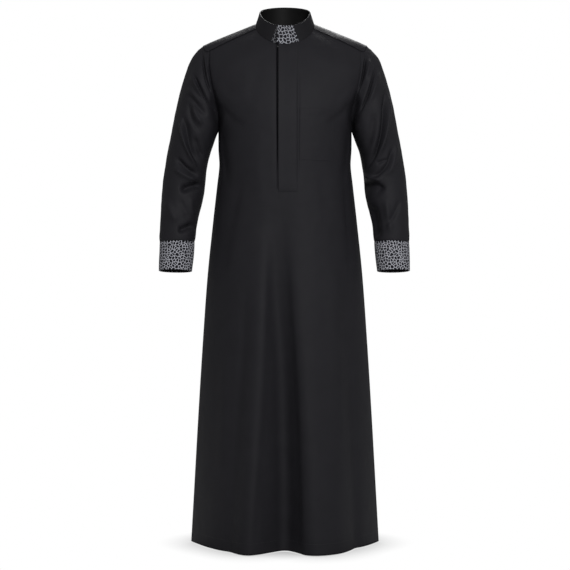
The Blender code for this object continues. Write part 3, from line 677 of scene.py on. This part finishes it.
LEFT_SLEEVE_FRONT = (
    Crease(-0.0095, 0.003, 0.003, ((0.214, -0.08), (0.21, -0.107), (0.202, -0.151), (0.192, -0.177),
        (0.184, -0.203))),
    Crease(0.0041, 0.004, 0.005, ((0.222, -0.092), (0.219, -0.122), (0.208, -0.16))),
    Crease(-0.0084, 0.003, 0.003, ((0.24, -0.108), (0.236, -0.128), (0.223, -0.172), (0.203, -0.224),
        (0.19, -0.25))),
    Crease(0.0046, 0.004, 0.007, ((0.248, -0.122), (0.242, -0.15), (0.228, -0.192), (0.212, -0.228))),
    Crease(-0.0118, 0.008, 0.003, ((0.259, -0.168), (0.263, -0.205), (0.26, -0.262), (0.254, -0.297),
        (0.244, -0.327), (0.23, -0.361), (0.206, -0.4))),
    Crease(0.0086, 0.0032, 0.007, ((0.267, -0.178), (0.27, -0.216), (0.266, -0.272), (0.259, -0.306),
        (0.249, -0.338), (0.234, -0.374))),
    Crease(-0.0049, 0.004, 0.004, ((0.236, -0.374), (0.252, -0.368), (0.272, -0.362))),
    Crease(-0.0076, 0.006, 0.004, ((0.282, -0.328), (0.277, -0.352), (0.269, -0.379), (0.24, -0.405),
        (0.22, -0.412))),
    Crease(0.0057, 0.005, 0.008, ((0.292, -0.31), (0.288, -0.35), (0.279, -0.386), (0.26, -0.408))),
    Crease(0.0081, 0.006, 0.006, ((0.206, -0.4), (0.228, -0.411), (0.256, -0.418))),
    Crease(-0.0105, 0.018, 0.007, ((0.19, -0.42), (0.224, -0.426), (0.246, -0.432), (0.264, -0.446))),
    Crease(-0.0049, 0.008, 0.006, ((0.304, -0.462), (0.286, -0.508), (0.256, -0.54))),
    Crease(-0.01, 0.012, 0.012, ((0.222, -0.47), (0.234, -0.512), (0.24, -0.58))),
    Crease(0.0049, 0.008, 0.008, ((0.262, -0.462), (0.268, -0.505), (0.276, -0.56))),
    Crease(-0.0048, 0.01, 0.01, ((0.232, -0.24), (0.226, -0.29), (0.212, -0.34))),
)
LEFT_SLEEVE_BACK = (
    Crease(-0.0057, 0.008, 0.006, ((0.254, -0.14), (0.234, -0.2), (0.2, -0.262))),
    Crease(0.0053, 0.007, 0.008, ((0.274, -0.2), (0.268, -0.26), (0.244, -0.33))),
    Crease(-0.0062, 0.008, 0.005, ((0.304, -0.345), (0.272, -0.382), (0.222, -0.404))),
    Crease(-0.0051, 0.008, 0.005, ((0.314, -0.43), (0.272, -0.448), (0.224, -0.452))),
    Crease(0.0042, 0.01, 0.01, ((0.262, -0.46), (0.27, -0.51), (0.284, -0.556))),
)
ARMHOLE_STEPS, SLEEVE_COLUMNS, SLEEVE_ROWS = 150, 190, 240
SLEEVE_CUT, SLEEVE_AREA = (0.470, 0.560), 0.168
LEFT_SLEEVE_IN = 0.0030  # how much nearer the body the left cuff hangs
SLEEVE_GROOVE = 1.8  # how much wider the armpit's groove is on the sleeve than on the body
SLEEVE_SLACK, CUFF_ROLL, CUFF_NIP = 0.0012, 0.0006, 0.0010
ROLL_HALF, NIP_HALF, CUFF_FADE, SEAM_FADE = 0.022, 0.006, 0.03, 0.007
FOLDED_UNDER = (-0.23, -0.18)  # heights between which the groove widens


def run_along(line):
    """How far along a line of points each of them is."""
    return np.concatenate([[0], np.cumsum(np.linalg.norm(np.diff(line, axis=0), axis=1))])


def points_at(at, run, line):
    """Points of a line, read at distances along it."""
    return np.stack([np.interp(at, run, column) for column in line.T], axis=-1)


def armhole_loop():
    """Points round the wearer's left armhole, evenly from the underarm up its front."""
    steps = np.linspace(0, 1, 60)
    z = mix(UNDERARM_Z, YOKE_CORNER_Z, steps)
    x = body("edge", z)
    up_front = form(x, down_to(x, z))
    up_front[0, 1] = 0
    _, _, x, s, _, _ = yoke_edges(steps * sum(YOKE_CELLS[:2]) / sum(YOKE_CELLS))
    over = form(x, s)
    z = mix(BACK_TOP_Z, UNDERARM_Z, steps)
    x = body("edge", z)
    down_back = form(x, -down_to(x, z))
    down_back[-1, 1] = 0
    loop = np.concatenate([up_front, over[1:], down_back[1:]])
    run = run_along(loop)
    return points_at(np.linspace(0, run[-1], ARMHOLE_STEPS + 1), run, loop)


ARMHOLE = armhole_loop()


def armhole_shape():
    """The armhole's points as shares of its ring, along and forward, and what is left over."""
    top, foot = ARMHOLE[ARMHOLE[:, 2].argmax()], ARMHOLE[ARMHOLE[:, 2].argmin()]
    middle, half = (top + foot)[[0, 2]] / 2, (top - foot)[[0, 2]] / 2
    offset = ARMHOLE[:, [0, 2]] - middle
    along = offset @ half / (half @ half)
    forward = -ARMHOLE[:, 1] / np.abs(ARMHOLE[:, 1]).max()
    return along, forward, offset - along[:, None] * half


ALONG, FORWARD, REST = armhole_shape()
ROUND = np.arange(ARMHOLE_STEPS + 1)


def around_share(values, across):
    """Values round the armhole, read at shares of the way round."""
    return np.interp(across * ARMHOLE_STEPS, ROUND, values)


def ring_points(rings, across, down, sway):
    """Points of a tube through a table of rings, for shares round it and down it."""
    at = down * (len(rings) - 1)
    column = {name: read(rings, range(len(rings)), name, at) for name in Ring._fields}
    along, forward = around_share(ALONG, across), around_share(FORWARD, across)
    rest = points_at(across * ARMHOLE_STEPS, ROUND, REST)
    turn = np.arctan2(forward, along)
    along = mix(along, np.cos(turn), column["oval"])
    forward = mix(forward, np.sin(turn), column["oval"])
    middle_x = (column["outer_x"] + column["inner_x"]) / 2
    middle_z = (column["outer_z"] + column["inner_z"]) / 2
    left_over = 1 - column["oval"]
    x = middle_x + (column["outer_x"] - middle_x) * along + rest[:, 0] * left_over
    z = middle_z + (column["outer_z"] - middle_z) * along + rest[:, 1] * left_over
    x = x + sway * rise(middle_z, -0.15, -0.60)
    z = z + column["pitch"] * column["depth"] * forward
    return np.stack([x, column["y"] - column["depth"] * forward, z], axis=1)


def sleeve_form(across, up, sway):
    """The sleeve before its creases: its first ring is the armhole itself."""
    across = across % 1.0
    down = (1 - up) * len(SLEEVE)
    head = points_at(across * ARMHOLE_STEPS, ROUND, ARMHOLE)
    tube = ring_points(SLEEVE, across, np.clip(down - 1, 0, None) / (len(SLEEVE) - 1), sway)
    return mix(head, tube, np.clip(down, 0, 1)[:, None])


def moved_out(surface, across, up, by, handed=1):
    """Points of a surface, moved out of it."""
    step = 0.002
    low, high = np.clip(up - step, 0, 1), np.clip(up + step, 0, 1)
    round_it = surface(across + step, up) - surface(across - step, up)
    out = unit(np.cross(round_it, surface(across, high) - surface(across, low))) * handed
    return surface(across, up) + out * by[:, None]


def from_armhole(points, side):
    """How far each point is from the armhole seam."""
    at = np.linspace(0, ARMHOLE_STEPS, 4 * ARMHOLE_STEPS + 1)
    seam = points_at(at, ROUND, ARMHOLE) * (side, 1, 1)
    parts = np.array_split(points, 64)
    near = [np.linalg.norm(part[:, None] - seam[None], axis=2).min(axis=1) for part in parts]
    return np.concatenate(near)


def front_first(across):
    """More columns on the sleeve's front, which has the finer creases."""
    return np.interp(across, (0, 0.62, 1), (0, 0.5, 1))


def sleeve_place(side, sway):
    """side is 1 for the wearer's left and -1 for the right."""
    front_creases = LEFT_SLEEVE_FRONT if side > 0 else RIGHT_SLEEVE_FRONT
    back_creases = LEFT_SLEEVE_BACK if side > 0 else RIGHT_SLEEVE_BACK

    def surface(across, up):
        return sleeve_form(across, up, sway) * (side, 1, 1)

    def place(across, up):
        points = surface(across, up)
        forward = around_share(FORWARD, across % 1.0)
        x, z = points[:, 0], points[:, 2]
        lift = crease_lift(front_creases, x, z) * rise(forward, -0.15, 0.35)
        lift += crease_lift(back_creases, x, z) * rise(forward, 0.15, -0.35)
        lift += slack(points, SLEEVE_SLACK)
        from_seam = from_armhole(points, side)
        lift *= ease(from_seam / SEAM_FADE) * ease(up / CUFF_FADE)
        lift += CUFF_ROLL * hump((up - CUFF_FADE) / ROLL_HALF) - CUFF_NIP * hump(up / NIP_HALF)
        creased = moved_out(surface, across, up, lift, side)
        folded_under = mix(SLEEVE_GROOVE, 1, rise(z, *FOLDED_UNDER))
        creased[:, 1] += groove_depth(points, from_seam / folded_under)
        return creased

    return place


def sleeve_sheet(side, sway):
    name = "left" if side > 0 else "right"
    place = sleeve_place(side, sway)
    made = cloth_sheet(
        f"sleeve_{name}_cloth", SLEEVE_COLUMNS, SLEEVE_ROWS, place, SLEEVE_CUT, True, front_first
    )
    if side < 0:
        made.data.flip_normals()
    give_wall(made, CLOTH)
    dress(made, f"sleeve_{name}", BLACK_SUITING)


sleeve_sheet(1, -LEFT_SLEEVE_IN)
sleeve_sheet(-1, 0.0)

# ---- Cuffs ----------------------------------------------------------------------------------
# Deep plain bands of patterned cloth, doubled over an interlining, sewn to the sleeve ends. The
# cloth is a light grey net drawn over near-black, a little blue.

CUFF = (
    Ring(0.3300, -0.5773, 0.2385, -0.5768, 0.0430, -0.022, 0.07, 1.00),
    Ring(0.3305, -0.6140, 0.2410, -0.6140, 0.0415, -0.027, 0.08, 1.00),
    Ring(0.3310, -0.6530, 0.2445, -0.6540, 0.0405, -0.033, 0.10, 1.00),
)
CUFF_AROUND, CUFF_ROWS = 96, 28
CUFF_CUT, CUFF_CLOTH = (0.272, 0.080), 0.0020
FACING_CUT, FACING_CLOTH, FACING_FOOT = (0.262, 0.078), 0.0006, 0.02
CUFF_SLACK, CUFF_GRAIN, CUFF_FULLNESS, CUFF_FOLD = 0.0010, 14.0, 0.0006, 0.0008
FACING_GAP = 0.0002
MESH_PITCH, MESH_WANDER = 0.0077, 0.0042  # from one dark cell to the next, and how they stray
MESH_LINE = (0.065, 0.120)  # where its lines start and have faded, in shares of the pitch


def netted_cloth(name, net, pitch=MESH_PITCH):
    """Grey net over near-black: the net's lines are the borders between scattered cells."""
    finish = Finish(name, {"Specular IOR Level": 0.20})
    weave, cut_map = weave_height(finish, THREAD_PITCH * 1.3)
    wander = noise_of(finish, cut_map, 150.0).beside(1)
    scaled = {"operation": "SCALE"}
    nudge = finish.node("ShaderNodeVectorMath", scaled, {0: wander, "Scale": MESH_WANDER})
    place = finish.node("ShaderNodeVectorMath", {"operation": "ADD"}, {0: cut_map, 1: nudge})
    border = finish.node(
        "ShaderNodeTexVoronoi",
        {"feature": "DISTANCE_TO_EDGE", "voronoi_dimensions": "2D"},
        {"Vector": place, "Scale": 1 / pitch, "Randomness": 0.85},
    )
    from_it, faded = MESH_LINE
    ends = {"From Min": from_it, "From Max": faded, "To Min": 1.0, "To Max": 0.0}
    smooth = {"interpolation_type": "SMOOTHSTEP"}
    line = finish.node("ShaderNodeMapRange", smooth, {"Value": border, **ends})
    worn = noise_of(finish, cut_map, 260.0)
    finish.show(
        Base_Color=finish.blend(line * (0.5 * worn + 0.72), (0.006, 0.006, 0.009), net),
        Roughness=0.86 - 0.14 * line,
        Normal=raised(finish, line + 0.25 * weave, 0.00025, 0.5),
    )
    return finish.material


NETTED_CLOTH = netted_cloth("netted_cloth", (0.440, 0.446, 0.490))


def painted_shade_facing():
    """Deep black lining cloth, for the insides of the cuffs and of the collar. It is darker than
    the suiting as painted shade, standing in for the shade that falls inside them.
    """
    finish = Finish("painted_shade_facing", {"Specular IOR Level": 0.06})
    weave, cut_map = weave_height(finish, THREAD_PITCH * 0.7)
    finish.show(
        Base_Color=finish.blend(noise_of(finish, cut_map, 60.0), (0.0044,) * 3, (0.0076,) * 3),
        Normal=raised(finish, weave, 0.00015, 0.3),
    )
    return finish.material


# Painted shade: the deep black lining inside the cuffs and the collar.
SHADE_FACING = painted_shade_facing()


def round_edges(piece, width):
    """Rounds the folded edges of a thick piece."""
    fold = piece.modifiers.new("folded_edges", "BEVEL")
    fold.width = width
    fold.segments = 3
    fold.limit_method = "ANGLE"
    fold.angle_limit = math.radians(50)


def cuff_sheet(side, sway):
    name = "left" if side > 0 else "right"
    steps = np.linspace(0, 1, 401)
    run = run_along(ring_points(CUFF, steps % 1.0, np.full_like(steps, 0.5), sway))

    def surface(across, up):
        evenly = np.interp(across % 1.0, run / run[-1], steps)
        return ring_points(CUFF, evenly % 1.0, 1 - up, sway) * (side, 1, 1)

    def place(across, up):
        lift = slack(surface(across, up), CUFF_SLACK, CUFF_GRAIN)
        lift += CUFF_FULLNESS * np.sin(math.pi * up)
        return moved_out(surface, across, up, lift, side)

    # The cuff's black lining, its darkness painted shade inside the cuff.
    def facing_place(across, up):
        up = mix(FACING_FOOT, 1, up)
        return moved_out(surface, across, up, np.full_like(up, -CUFF_CLOTH - FACING_GAP), side)

    made = cloth_sheet(f"cuff_{name}_cloth", CUFF_AROUND, CUFF_ROWS, place, CUFF_CUT, tube=True)
    shade_facing = cloth_sheet(
        f"cuff_{name}_facing", CUFF_AROUND, CUFF_ROWS, facing_place, FACING_CUT, tube=True
    )
    for tube, thickness in ((made, CUFF_CLOTH), (shade_facing, FACING_CLOTH)):
        if side < 0:
            tube.data.flip_normals()
        give_wall(tube, thickness)
    round_edges(made, CUFF_FOLD)
    dress(made, f"cuff_{name}", NETTED_CLOTH)
    dress(shade_facing, f"cuff_{name}", SHADE_FACING)


cuff_sheet(1, -LEFT_SLEEVE_IN)
cuff_sheet(-1, 0.0)

# ---- Placket --------------------------------------------------------------------------------
# A strip of doubled suiting from the neck to mid-chest. Its free edge, on the wearer's right,
# stands a little proud over the strip behind the slit. Its other edge is sewn down.

PLACKET_COLUMNS, PLACKET_ROWS = 22, 120
PLACKET_CUT, PLACKET_AREA, PLACKET_CLOTH = (0.050, 0.415), 0.0205, 0.0013
PLACKET_LIFT, PLACKET_SEWN_LIFT, PLACKET_FREE_LIFT = 0.0012, 0.0005, 0.0036
PLACKET_FOLD, PLACKET_TOP_LAP = 0.0005, 0.001
UNDER_COLUMNS, UNDER_ROWS, UNDER_DEPTH = 10, 60, 0.0110


def placket_rows(x, up):
    """s of the strip's points, from its foot to the neckline."""
    neck = neckline(np.degrees(np.arcsin(np.abs(x) / NECK_HALF_WIDTH)))[1]
    return mix(down_to(x, PLACKET_FOOT_Z), neck + PLACKET_TOP_LAP, up)


def placket_place(across, up):
    x = mix(PLACKET_EDGE, PLACKET_STITCH, across)
    free = rise(across, 0.35, 0) * mix(0.35 * rise(up, 0, 0.03), 1, rise(up, 0.05, 0.45))
    sewn = 1 - rise(across, 1, 0.88) * rise(up, 0, 0.015)
    out_by = mix(mix(PLACKET_LIFT, PLACKET_SEWN_LIFT, sewn), PLACKET_FREE_LIFT, free)
    return body_cloth(x, placket_rows(x, up), out_by)


placket = cloth_sheet("placket_cloth", PLACKET_COLUMNS, PLACKET_ROWS, placket_place, PLACKET_CUT)
give_wall(placket, PLACKET_CLOTH)
round_edges(placket, PLACKET_FOLD)
dress(placket, "placket_over", BLACK_SUITING)


def under_place(across, up):
    x = mix(PLACKET_EDGE, PLACKET_STITCH, across)
    return body_cloth(x, placket_rows(x, up), -UNDER_DEPTH)


under = cloth_sheet("placket_under_cloth", UNDER_COLUMNS, UNDER_ROWS, under_place, PLACKET_CUT)
give_wall(under, CLOTH)
dress(under, "placket_under", BLACK_SUITING)

# ---- Pocket ---------------------------------------------------------------------------------
# A patch of the suiting on the wearer's left chest, sewn down on three sides. Its hemmed mouth
# gapes a little.

POCKET_SIDES, POCKET_TOP_Z, POCKET_FOOT_Z = (0.036, 0.126), -0.239, -0.370
POCKET_COLUMNS, POCKET_ROWS, POCKET_CUT = 40, 52, (0.094, 0.136)
POCKET_LIFT, POCKET_GAPE, POCKET_CLOTH, POCKET_FOLD = 0.0005, 0.0018, 0.0007, 0.0004


def pocket_place(across, up):
    x = mix(*POCKET_SIDES, across)
    z = mix(POCKET_FOOT_Z, POCKET_TOP_Z, up)
    gape = np.sin(math.pi * across) * rise(up, 0.8, 1)
    return body_cloth(x, down_to(x, z), POCKET_LIFT + POCKET_GAPE * gape)


pocket = cloth_sheet("pocket_cloth", POCKET_COLUMNS, POCKET_ROWS, pocket_place, POCKET_CUT)
give_wall(pocket, POCKET_CLOTH)
round_edges(pocket, POCKET_FOLD)
dress(pocket, "pocket", BLACK_SUITING)

# ---- Collar ---------------------------------------------------------------------------------
# A stand collar of interlined suiting, turned and pressed, sewn round the neckline. Its two
# front ends are of the netted cloth, and the wearer's left end laps over the right one.

RIM_HALF_WIDTH, RIM_FRONT, RIM_BACK = 0.0655, 0.063, 0.052
RIM_SIDE_Z, RIM_FRONT_DROP, RIM_BACK_RISE = 0.034, 0.049, 0.022
COLLAR_CLOTH, COLLAR_FOLD = 0.0024, 0.0010
COLLAR_FOOT = -0.05  # its foot runs down past the neckline by this share
END_FOOT_X, END_RIM_X = 0.0355, 0.0205
OVER_EDGE_FOOT_X, OVER_EDGE_RIM_X = -0.0205, -0.0182
DRAWN_FROM, UNDER_TIP, LAP_FROM, LAP_TO = 60.0, 6.0, 8.0, 15.0  # angles from the front's middle
BAND_RIPPLE, RIPPLE_TURN = 0.0004, 0.11
COLLAR_ROWS, BAND_COLUMNS, END_COLUMNS, EDGE_COLUMNS = 16, 120, 26, 8
BAND_CUT, BAND_AREA = (0.385, 0.050), 0.0179
OVER_CUT, OVER_AREA, OVER_LAP = (0.060, 0.048), 0.0027, COLLAR_CLOTH + 0.0014
UNDER_CUT, UNDER_AREA = (0.046, 0.048), 0.0019
COLLAR_FACING_CUT, COLLAR_FACING_AREA, COLLAR_FACING_TOP = (0.440, 0.048), 0.0199, 0.97
COLLAR_FACING_OUT = -COLLAR_CLOTH / 2 - 0.0003
COLLAR_SUITING = black_suiting("collar_suiting", (0.0064, 0.0062, 0.0075), (0.0103, 0.0100, 0.0120))
NETTED_OVER = netted_cloth("netted_cloth_over", (0.325, 0.332, 0.364), MESH_PITCH * 1.2)
# The under end's net is darker than the over end's: painted shade on the end under the lap.
NETTED_UNDER_SHADED = netted_cloth("netted_cloth_under_painted_shade", (0.120, 0.122, 0.130))
# EDGE_*: the dark strip past the over end's free edge, a painted shadow line.
EDGE_SHOWS, EDGE_HIDDEN, EDGE_OUT = 2.0, 12.0, COLLAR_CLOTH / 2 + 0.0009
EDGE_CUT, EDGE_AREA = (0.018, 0.048), 0.00078


def collar_points(foot_angle, rim_angle, height, out_by):
    """Points of the collar: height runs from 0 at the neckline to 1 at the rim."""
    turn = np.radians(rim_angle)
    front = np.cos(turn) >= 0
    rim = np.stack(
        [
            RIM_HALF_WIDTH * np.sin(turn),
            -np.where(front, RIM_FRONT, RIM_BACK) * np.cos(turn),
            RIM_SIDE_Z - np.where(front, RIM_FRONT_DROP, RIM_BACK_RISE) * np.cos(turn),
        ],
        axis=1,
    )
    points = mix(form(*neckline(foot_angle)), rim, height[:, None])
    return points + unit(points * (1, 1, 0)) * out_by[:, None]


def angle_of(x, half_width):
    return math.degrees(math.asin(x / half_width))


END_FOOT, END_RIM = angle_of(END_FOOT_X, NECK_HALF_WIDTH), angle_of(END_RIM_X, RIM_HALF_WIDTH)


def band_place(across, up):
    foot = mix(END_FOOT, 360 - END_FOOT, across)
    nearest = np.minimum(foot, 360 - foot)
    drawn_in = rise(nearest, DRAWN_FROM, END_FOOT) * (END_FOOT - END_RIM)
    rim = np.where(foot < 180, nearest - drawn_in, 360 - nearest + drawn_in)
    ripple = BAND_RIPPLE * np.sin(foot * RIPPLE_TURN) * np.sin(math.pi * up)
    return collar_points(foot, rim, mix(COLLAR_FOOT, 1, up), ripple)


def collar_piece(name, node, columns, place, cut, finish):
    made = cloth_sheet(name, columns, COLLAR_ROWS, place, cut)
    give_wall(made, COLLAR_CLOTH, 0.0)
    round_edges(made, COLLAR_FOLD)
    dress(made, node, finish)


def end_place(left, right, lap):
    """A collar end between two seams or edges, each given as (foot angle, rim angle)."""

    def place(across, up):
        height = mix(COLLAR_FOOT, 1, up)
        foot, rim = mix(left[0], right[0], across), mix(left[1], right[1], across)
        at = mix(foot, rim, height)
        return collar_points(foot, rim, height, lap * rise(at, LAP_TO, LAP_FROM))

    return place


collar_piece(
    "collar_band_cloth", "collar_band", BAND_COLUMNS, band_place,
    BAND_CUT, COLLAR_SUITING,
)


# The collar's black lining, its darkness painted shade inside the collar.
def facing_place(across, up):
    angle = across * 360
    height = mix(COLLAR_FOOT, COLLAR_FACING_TOP, up)
    return collar_points(angle, angle, height, np.full_like(up, COLLAR_FACING_OUT))


shade_facing = cloth_sheet(
    "collar_shade_facing", BAND_COLUMNS, COLLAR_ROWS, facing_place, COLLAR_FACING_CUT, tube=True
)
give_wall(shade_facing, FACING_CLOTH)
dress(
    shade_facing, "collar_band", SHADE_FACING
)

over_edge = (
    angle_of(OVER_EDGE_FOOT_X, NECK_HALF_WIDTH),
    angle_of(OVER_EDGE_RIM_X, RIM_HALF_WIDTH),
)
collar_piece(
    "collar_end_over_cloth", "collar_end_over", END_COLUMNS,
    end_place(over_edge, (END_FOOT, END_RIM), OVER_LAP),
    OVER_CUT, NETTED_OVER,
)


def edge_place(across, up):
    """The over end's black lining, which shows past its free edge by a few degrees: a dark
    strip that is painted shadow, standing in for the shadow line under that edge.
    """
    height = mix(COLLAR_FOOT, 1, up)
    foot, rim = (mix(edge - EDGE_SHOWS, edge + EDGE_HIDDEN, across) for edge in over_edge)
    return collar_points(foot, rim, height, np.full_like(up, EDGE_OUT))


# A painted shadow: the dark strip along the over end's free edge.
edge = cloth_sheet("collar_end_shadow_edge", EDGE_COLUMNS, COLLAR_ROWS, edge_place, EDGE_CUT)
give_wall(edge, FACING_CLOTH)
dress(edge, "collar_end_over", SHADE_FACING)

collar_piece(
    "collar_end_under_cloth", "collar_end_under", END_COLUMNS,
    end_place((-END_FOOT, -END_RIM), (UNDER_TIP, UNDER_TIP), 0.0),
    UNDER_CUT, NETTED_UNDER_SHADED,
)

# ---- Topstitching ---------------------------------------------------------------------------
# Rows of black thread: beside the yoke seams, down the placket and across its foot, round the
# pocket and under its mouth, and above the hem. Each stitch is a short raised run of thread.

STITCH, STITCH_GAP, THREAD = 0.0026, 0.0008, 0.00024
HEM_TURNING, YOKE_ROW, EDGE_ROW, POCKET_MOUTH = 0.028, 0.0055, 0.0022, 0.022
HEM_ROW_SHARE, YOKE_BACK_HALF, FOOT_ROWS_APART = 0.985, 0.192, 0.010
YOKE_ROW_START, YOKE_ROW_PAST = 0.003, 0.004  # from the neckline, and past the yoke's corner
POCKET_CORNERS = (0, 0.37, 0.63, 1)  # shares of the row, from its top on one side to the other


def thread_finish():
    """Black thread, twisted, on the object's own coordinates."""
    finish = Finish("black_thread", {"Roughness": 0.5, "Specular IOR Level": 0.45})
    twist = noise_of(finish, finish.node("ShaderNodeTexCoord", {}, {}).beside(3), 2400.0)
    finish.show(Base_Color=finish.blend(twist, (0.006, 0.006, 0.007), (0.022, 0.022, 0.024)))
    return finish.material


BLACK_THREAD = thread_finish()


def stitch_row(name, x, s, out_by):
    """A row of stitches along a line of places on the body's cloth."""
    line = body_cloth(x, s, out_by)
    normals = outward(x, s)
    run = run_along(line)
    row = bmesh.new()
    for k in range(int(run[-1] / (STITCH + STITCH_GAP))):
        at = k * (STITCH + STITCH_GAP)
        begin, end = (Vector(points_at(there, run, line)) for there in (at, at + STITCH))
        out = Vector(points_at(at, run, normals)).normalized()
        along = (end - begin).normalized()
        turn = Matrix((along, out.cross(along).normalized(), out)).transposed().to_4x4()
        size = Matrix.Diagonal((STITCH / 2, THREAD, THREAD, 1))
        stitch = Matrix.Translation((begin + end) / 2) @ turn @ size
        bmesh.ops.create_icosphere(row, subdivisions=1, radius=1, matrix=stitch)
    piece = as_piece(name, row)
    piece.data.materials.append(BLACK_THREAD)
    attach(piece, "root")


steps = np.linspace(0, 1, 400)
hem_row_z = HEM_Z + HEM_TURNING
hem_out = np.sin(mix(-HEM_ROW_SHARE, HEM_ROW_SHARE, steps) * math.pi / 2)
hem_x = hem_out * float(body("edge", hem_row_z))
hem_s = down_to(hem_x, hem_row_z)
stitch_row("hem_stitches_front", hem_x, hem_s, 0.0)
stitch_row("hem_stitches_back", hem_x, -hem_s, 0.0)

for side, name in ((1, "left"), (-1, "right")):
    seam_x = mix(YOKE_NECK_X + YOKE_ROW_START, YOKE_CORNER_X + YOKE_ROW_PAST, steps) * side
    seam_s = down_to(seam_x, yoke_seam_z(seam_x)) + YOKE_LAP - YOKE_ROW
    stitch_row(f"yoke_stitches_{name}", seam_x, seam_s, YOKE_OUT)
yoke_back_x = mix(-YOKE_BACK_HALF, YOKE_BACK_HALF, steps)
yoke_back_s = -down_to(yoke_back_x, BACK_TOP_Z) - YOKE_LAP + YOKE_ROW
stitch_row("yoke_stitches_back", yoke_back_x, yoke_back_s, YOKE_OUT)

down = mix(1.0, EDGE_ROW / PLACKET_CUT[1], steps)
stitch_x = np.full_like(steps, PLACKET_STITCH - EDGE_ROW)
stitch_row("placket_stitches_side", stitch_x, placket_rows(stitch_x, down), PLACKET_LIFT)
foot_x = mix(PLACKET_STITCH - EDGE_ROW, PLACKET_EDGE + EDGE_ROW, steps)
for k, above_foot in enumerate((EDGE_ROW, EDGE_ROW + FOOT_ROWS_APART)):
    foot_s = placket_rows(foot_x, np.full_like(steps, above_foot / PLACKET_CUT[1]))
    stitch_row(f"placket_stitches_foot_{k}", foot_x, foot_s, PLACKET_LIFT)

inner, outer = POCKET_SIDES[0] + EDGE_ROW, POCKET_SIDES[1] - EDGE_ROW
foot_z = POCKET_FOOT_Z + EDGE_ROW
pocket_x = np.interp(steps, POCKET_CORNERS, (inner, inner, outer, outer))
pocket_z = np.interp(steps, POCKET_CORNERS, (POCKET_TOP_Z, foot_z, foot_z, POCKET_TOP_Z))
stitch_row("pocket_stitches", pocket_x, down_to(pocket_x, pocket_z), POCKET_LIFT)
mouth_x = mix(inner, outer, steps)
mouth_s = down_to(mouth_x, POCKET_TOP_Z - POCKET_MOUTH)
stitch_row("pocket_mouth_stitches", mouth_x, mouth_s, POCKET_LIFT)

# ---- Studio ---------------------------------------------------------------------------------
# A plain white floor just under the hem, which glows white to the camera with a painted shadow
# round the hem, a white room that lights the cloth softly from all round, a large lamp in front,
# high and a little to one side, one behind for the shoulders, and a level camera square on to the
# front.

FLOOR_GAP, FLOOR_SIZE = 0.002, 60.0
FLOOR_BOUNCE = 0.5  # how much of the room's light it gives back to the cloth
ROOM_LIGHT = 0.37  # what the white room casts, beside what the camera sees of it
# The shade round the hem is painted: the floor's glow is darkened where the cloth closes it in.
PAINTED_SHADE_REACH, PAINTED_SHADE_DEPTH = 0.10, 0.75  # the soft shade round the hem, all else being white
CAMERA_PLACE, CAMERA_LENS, SENSOR = (0.0, -3.6, -0.690), 85.8, 36.0

studio = bpy.data.worlds.new("studio")
studio.use_nodes = True
air = studio.node_tree.nodes["Background"]
air.inputs["Color"].default_value = (1.0, 1.0, 1.0, 1.0)
sight = studio.node_tree.nodes.new("ShaderNodeLightPath")
shine = studio.node_tree.nodes.new("ShaderNodeMapRange")
shine.inputs["To Min"].default_value = ROOM_LIGHT
studio.node_tree.links.new(sight.outputs["Is Camera Ray"], shine.inputs["Value"])
studio.node_tree.links.new(shine.outputs["Result"], air.inputs["Strength"])
bpy.context.scene.world = studio
bpy.context.scene.view_settings.view_transform = "Standard"

floor_cut = bmesh.new()
bmesh.ops.create_grid(floor_cut, x_segments=1, y_segments=1, size=FLOOR_SIZE / 2)
bmesh.ops.translate(floor_cut, verts=floor_cut.verts, vec=(0, 0, HEM_Z - FLOOR_GAP))
floor = as_piece("floor", floor_cut)
white = Finish(
    "white_floor_painted_shadow", {"Roughness": 1.0, "Specular IOR Level": 0.0, "Emission Strength": 1.0}
)
# To the camera the floor is glow alone, with a painted shadow round the hem from how open it is.
seen = white.node("ShaderNodeLightPath", {}, {})
open_air = white.node("ShaderNodeAmbientOcclusion", {"samples": 12}, {"Distance": PAINTED_SHADE_REACH}, 1)
white.show(
    Base_Color=white.blend(seen, (FLOOR_BOUNCE,) * 3, (0.0,) * 3),
    Emission_Color=seen * (PAINTED_SHADE_DEPTH * open_air + (1 - PAINTED_SHADE_DEPTH)),
)
floor.data.materials.append(white.material)

Lamp = namedtuple("Lamp", "name place aim size power")
LAMPS = (
    Lamp("key", (0.7, -3.2, 0.9), (0.0, 0.0, -0.60), 0.9, 75.0),
    Lamp("behind", (0.3, 2.6, 2.3), (0.0, 0.0, 0.0), 1.4, 170.0),
)
for lamp in LAMPS:
    light = bpy.data.lights.new(lamp.name, "AREA")
    light.shape = "DISK"
    light.size = lamp.size
    light.energy = lamp.power
    stand = bpy.data.objects.new(lamp.name, light)
    stand.location = lamp.place
    aim = Vector(lamp.aim) - Vector(lamp.place)
    stand.rotation_euler = aim.to_track_quat("-Z", "Y").to_euler()
    bpy.context.scene.collection.objects.link(stand)

lens = bpy.data.cameras.new("camera")
lens.lens = CAMERA_LENS
lens.sensor_width = SENSOR
camera = bpy.data.objects.new("camera", lens)
camera.location = CAMERA_PLACE
camera.rotation_euler = (math.pi / 2, 0, 0)
bpy.context.scene.collection.objects.link(camera)
bpy.context.scene.camera = camera
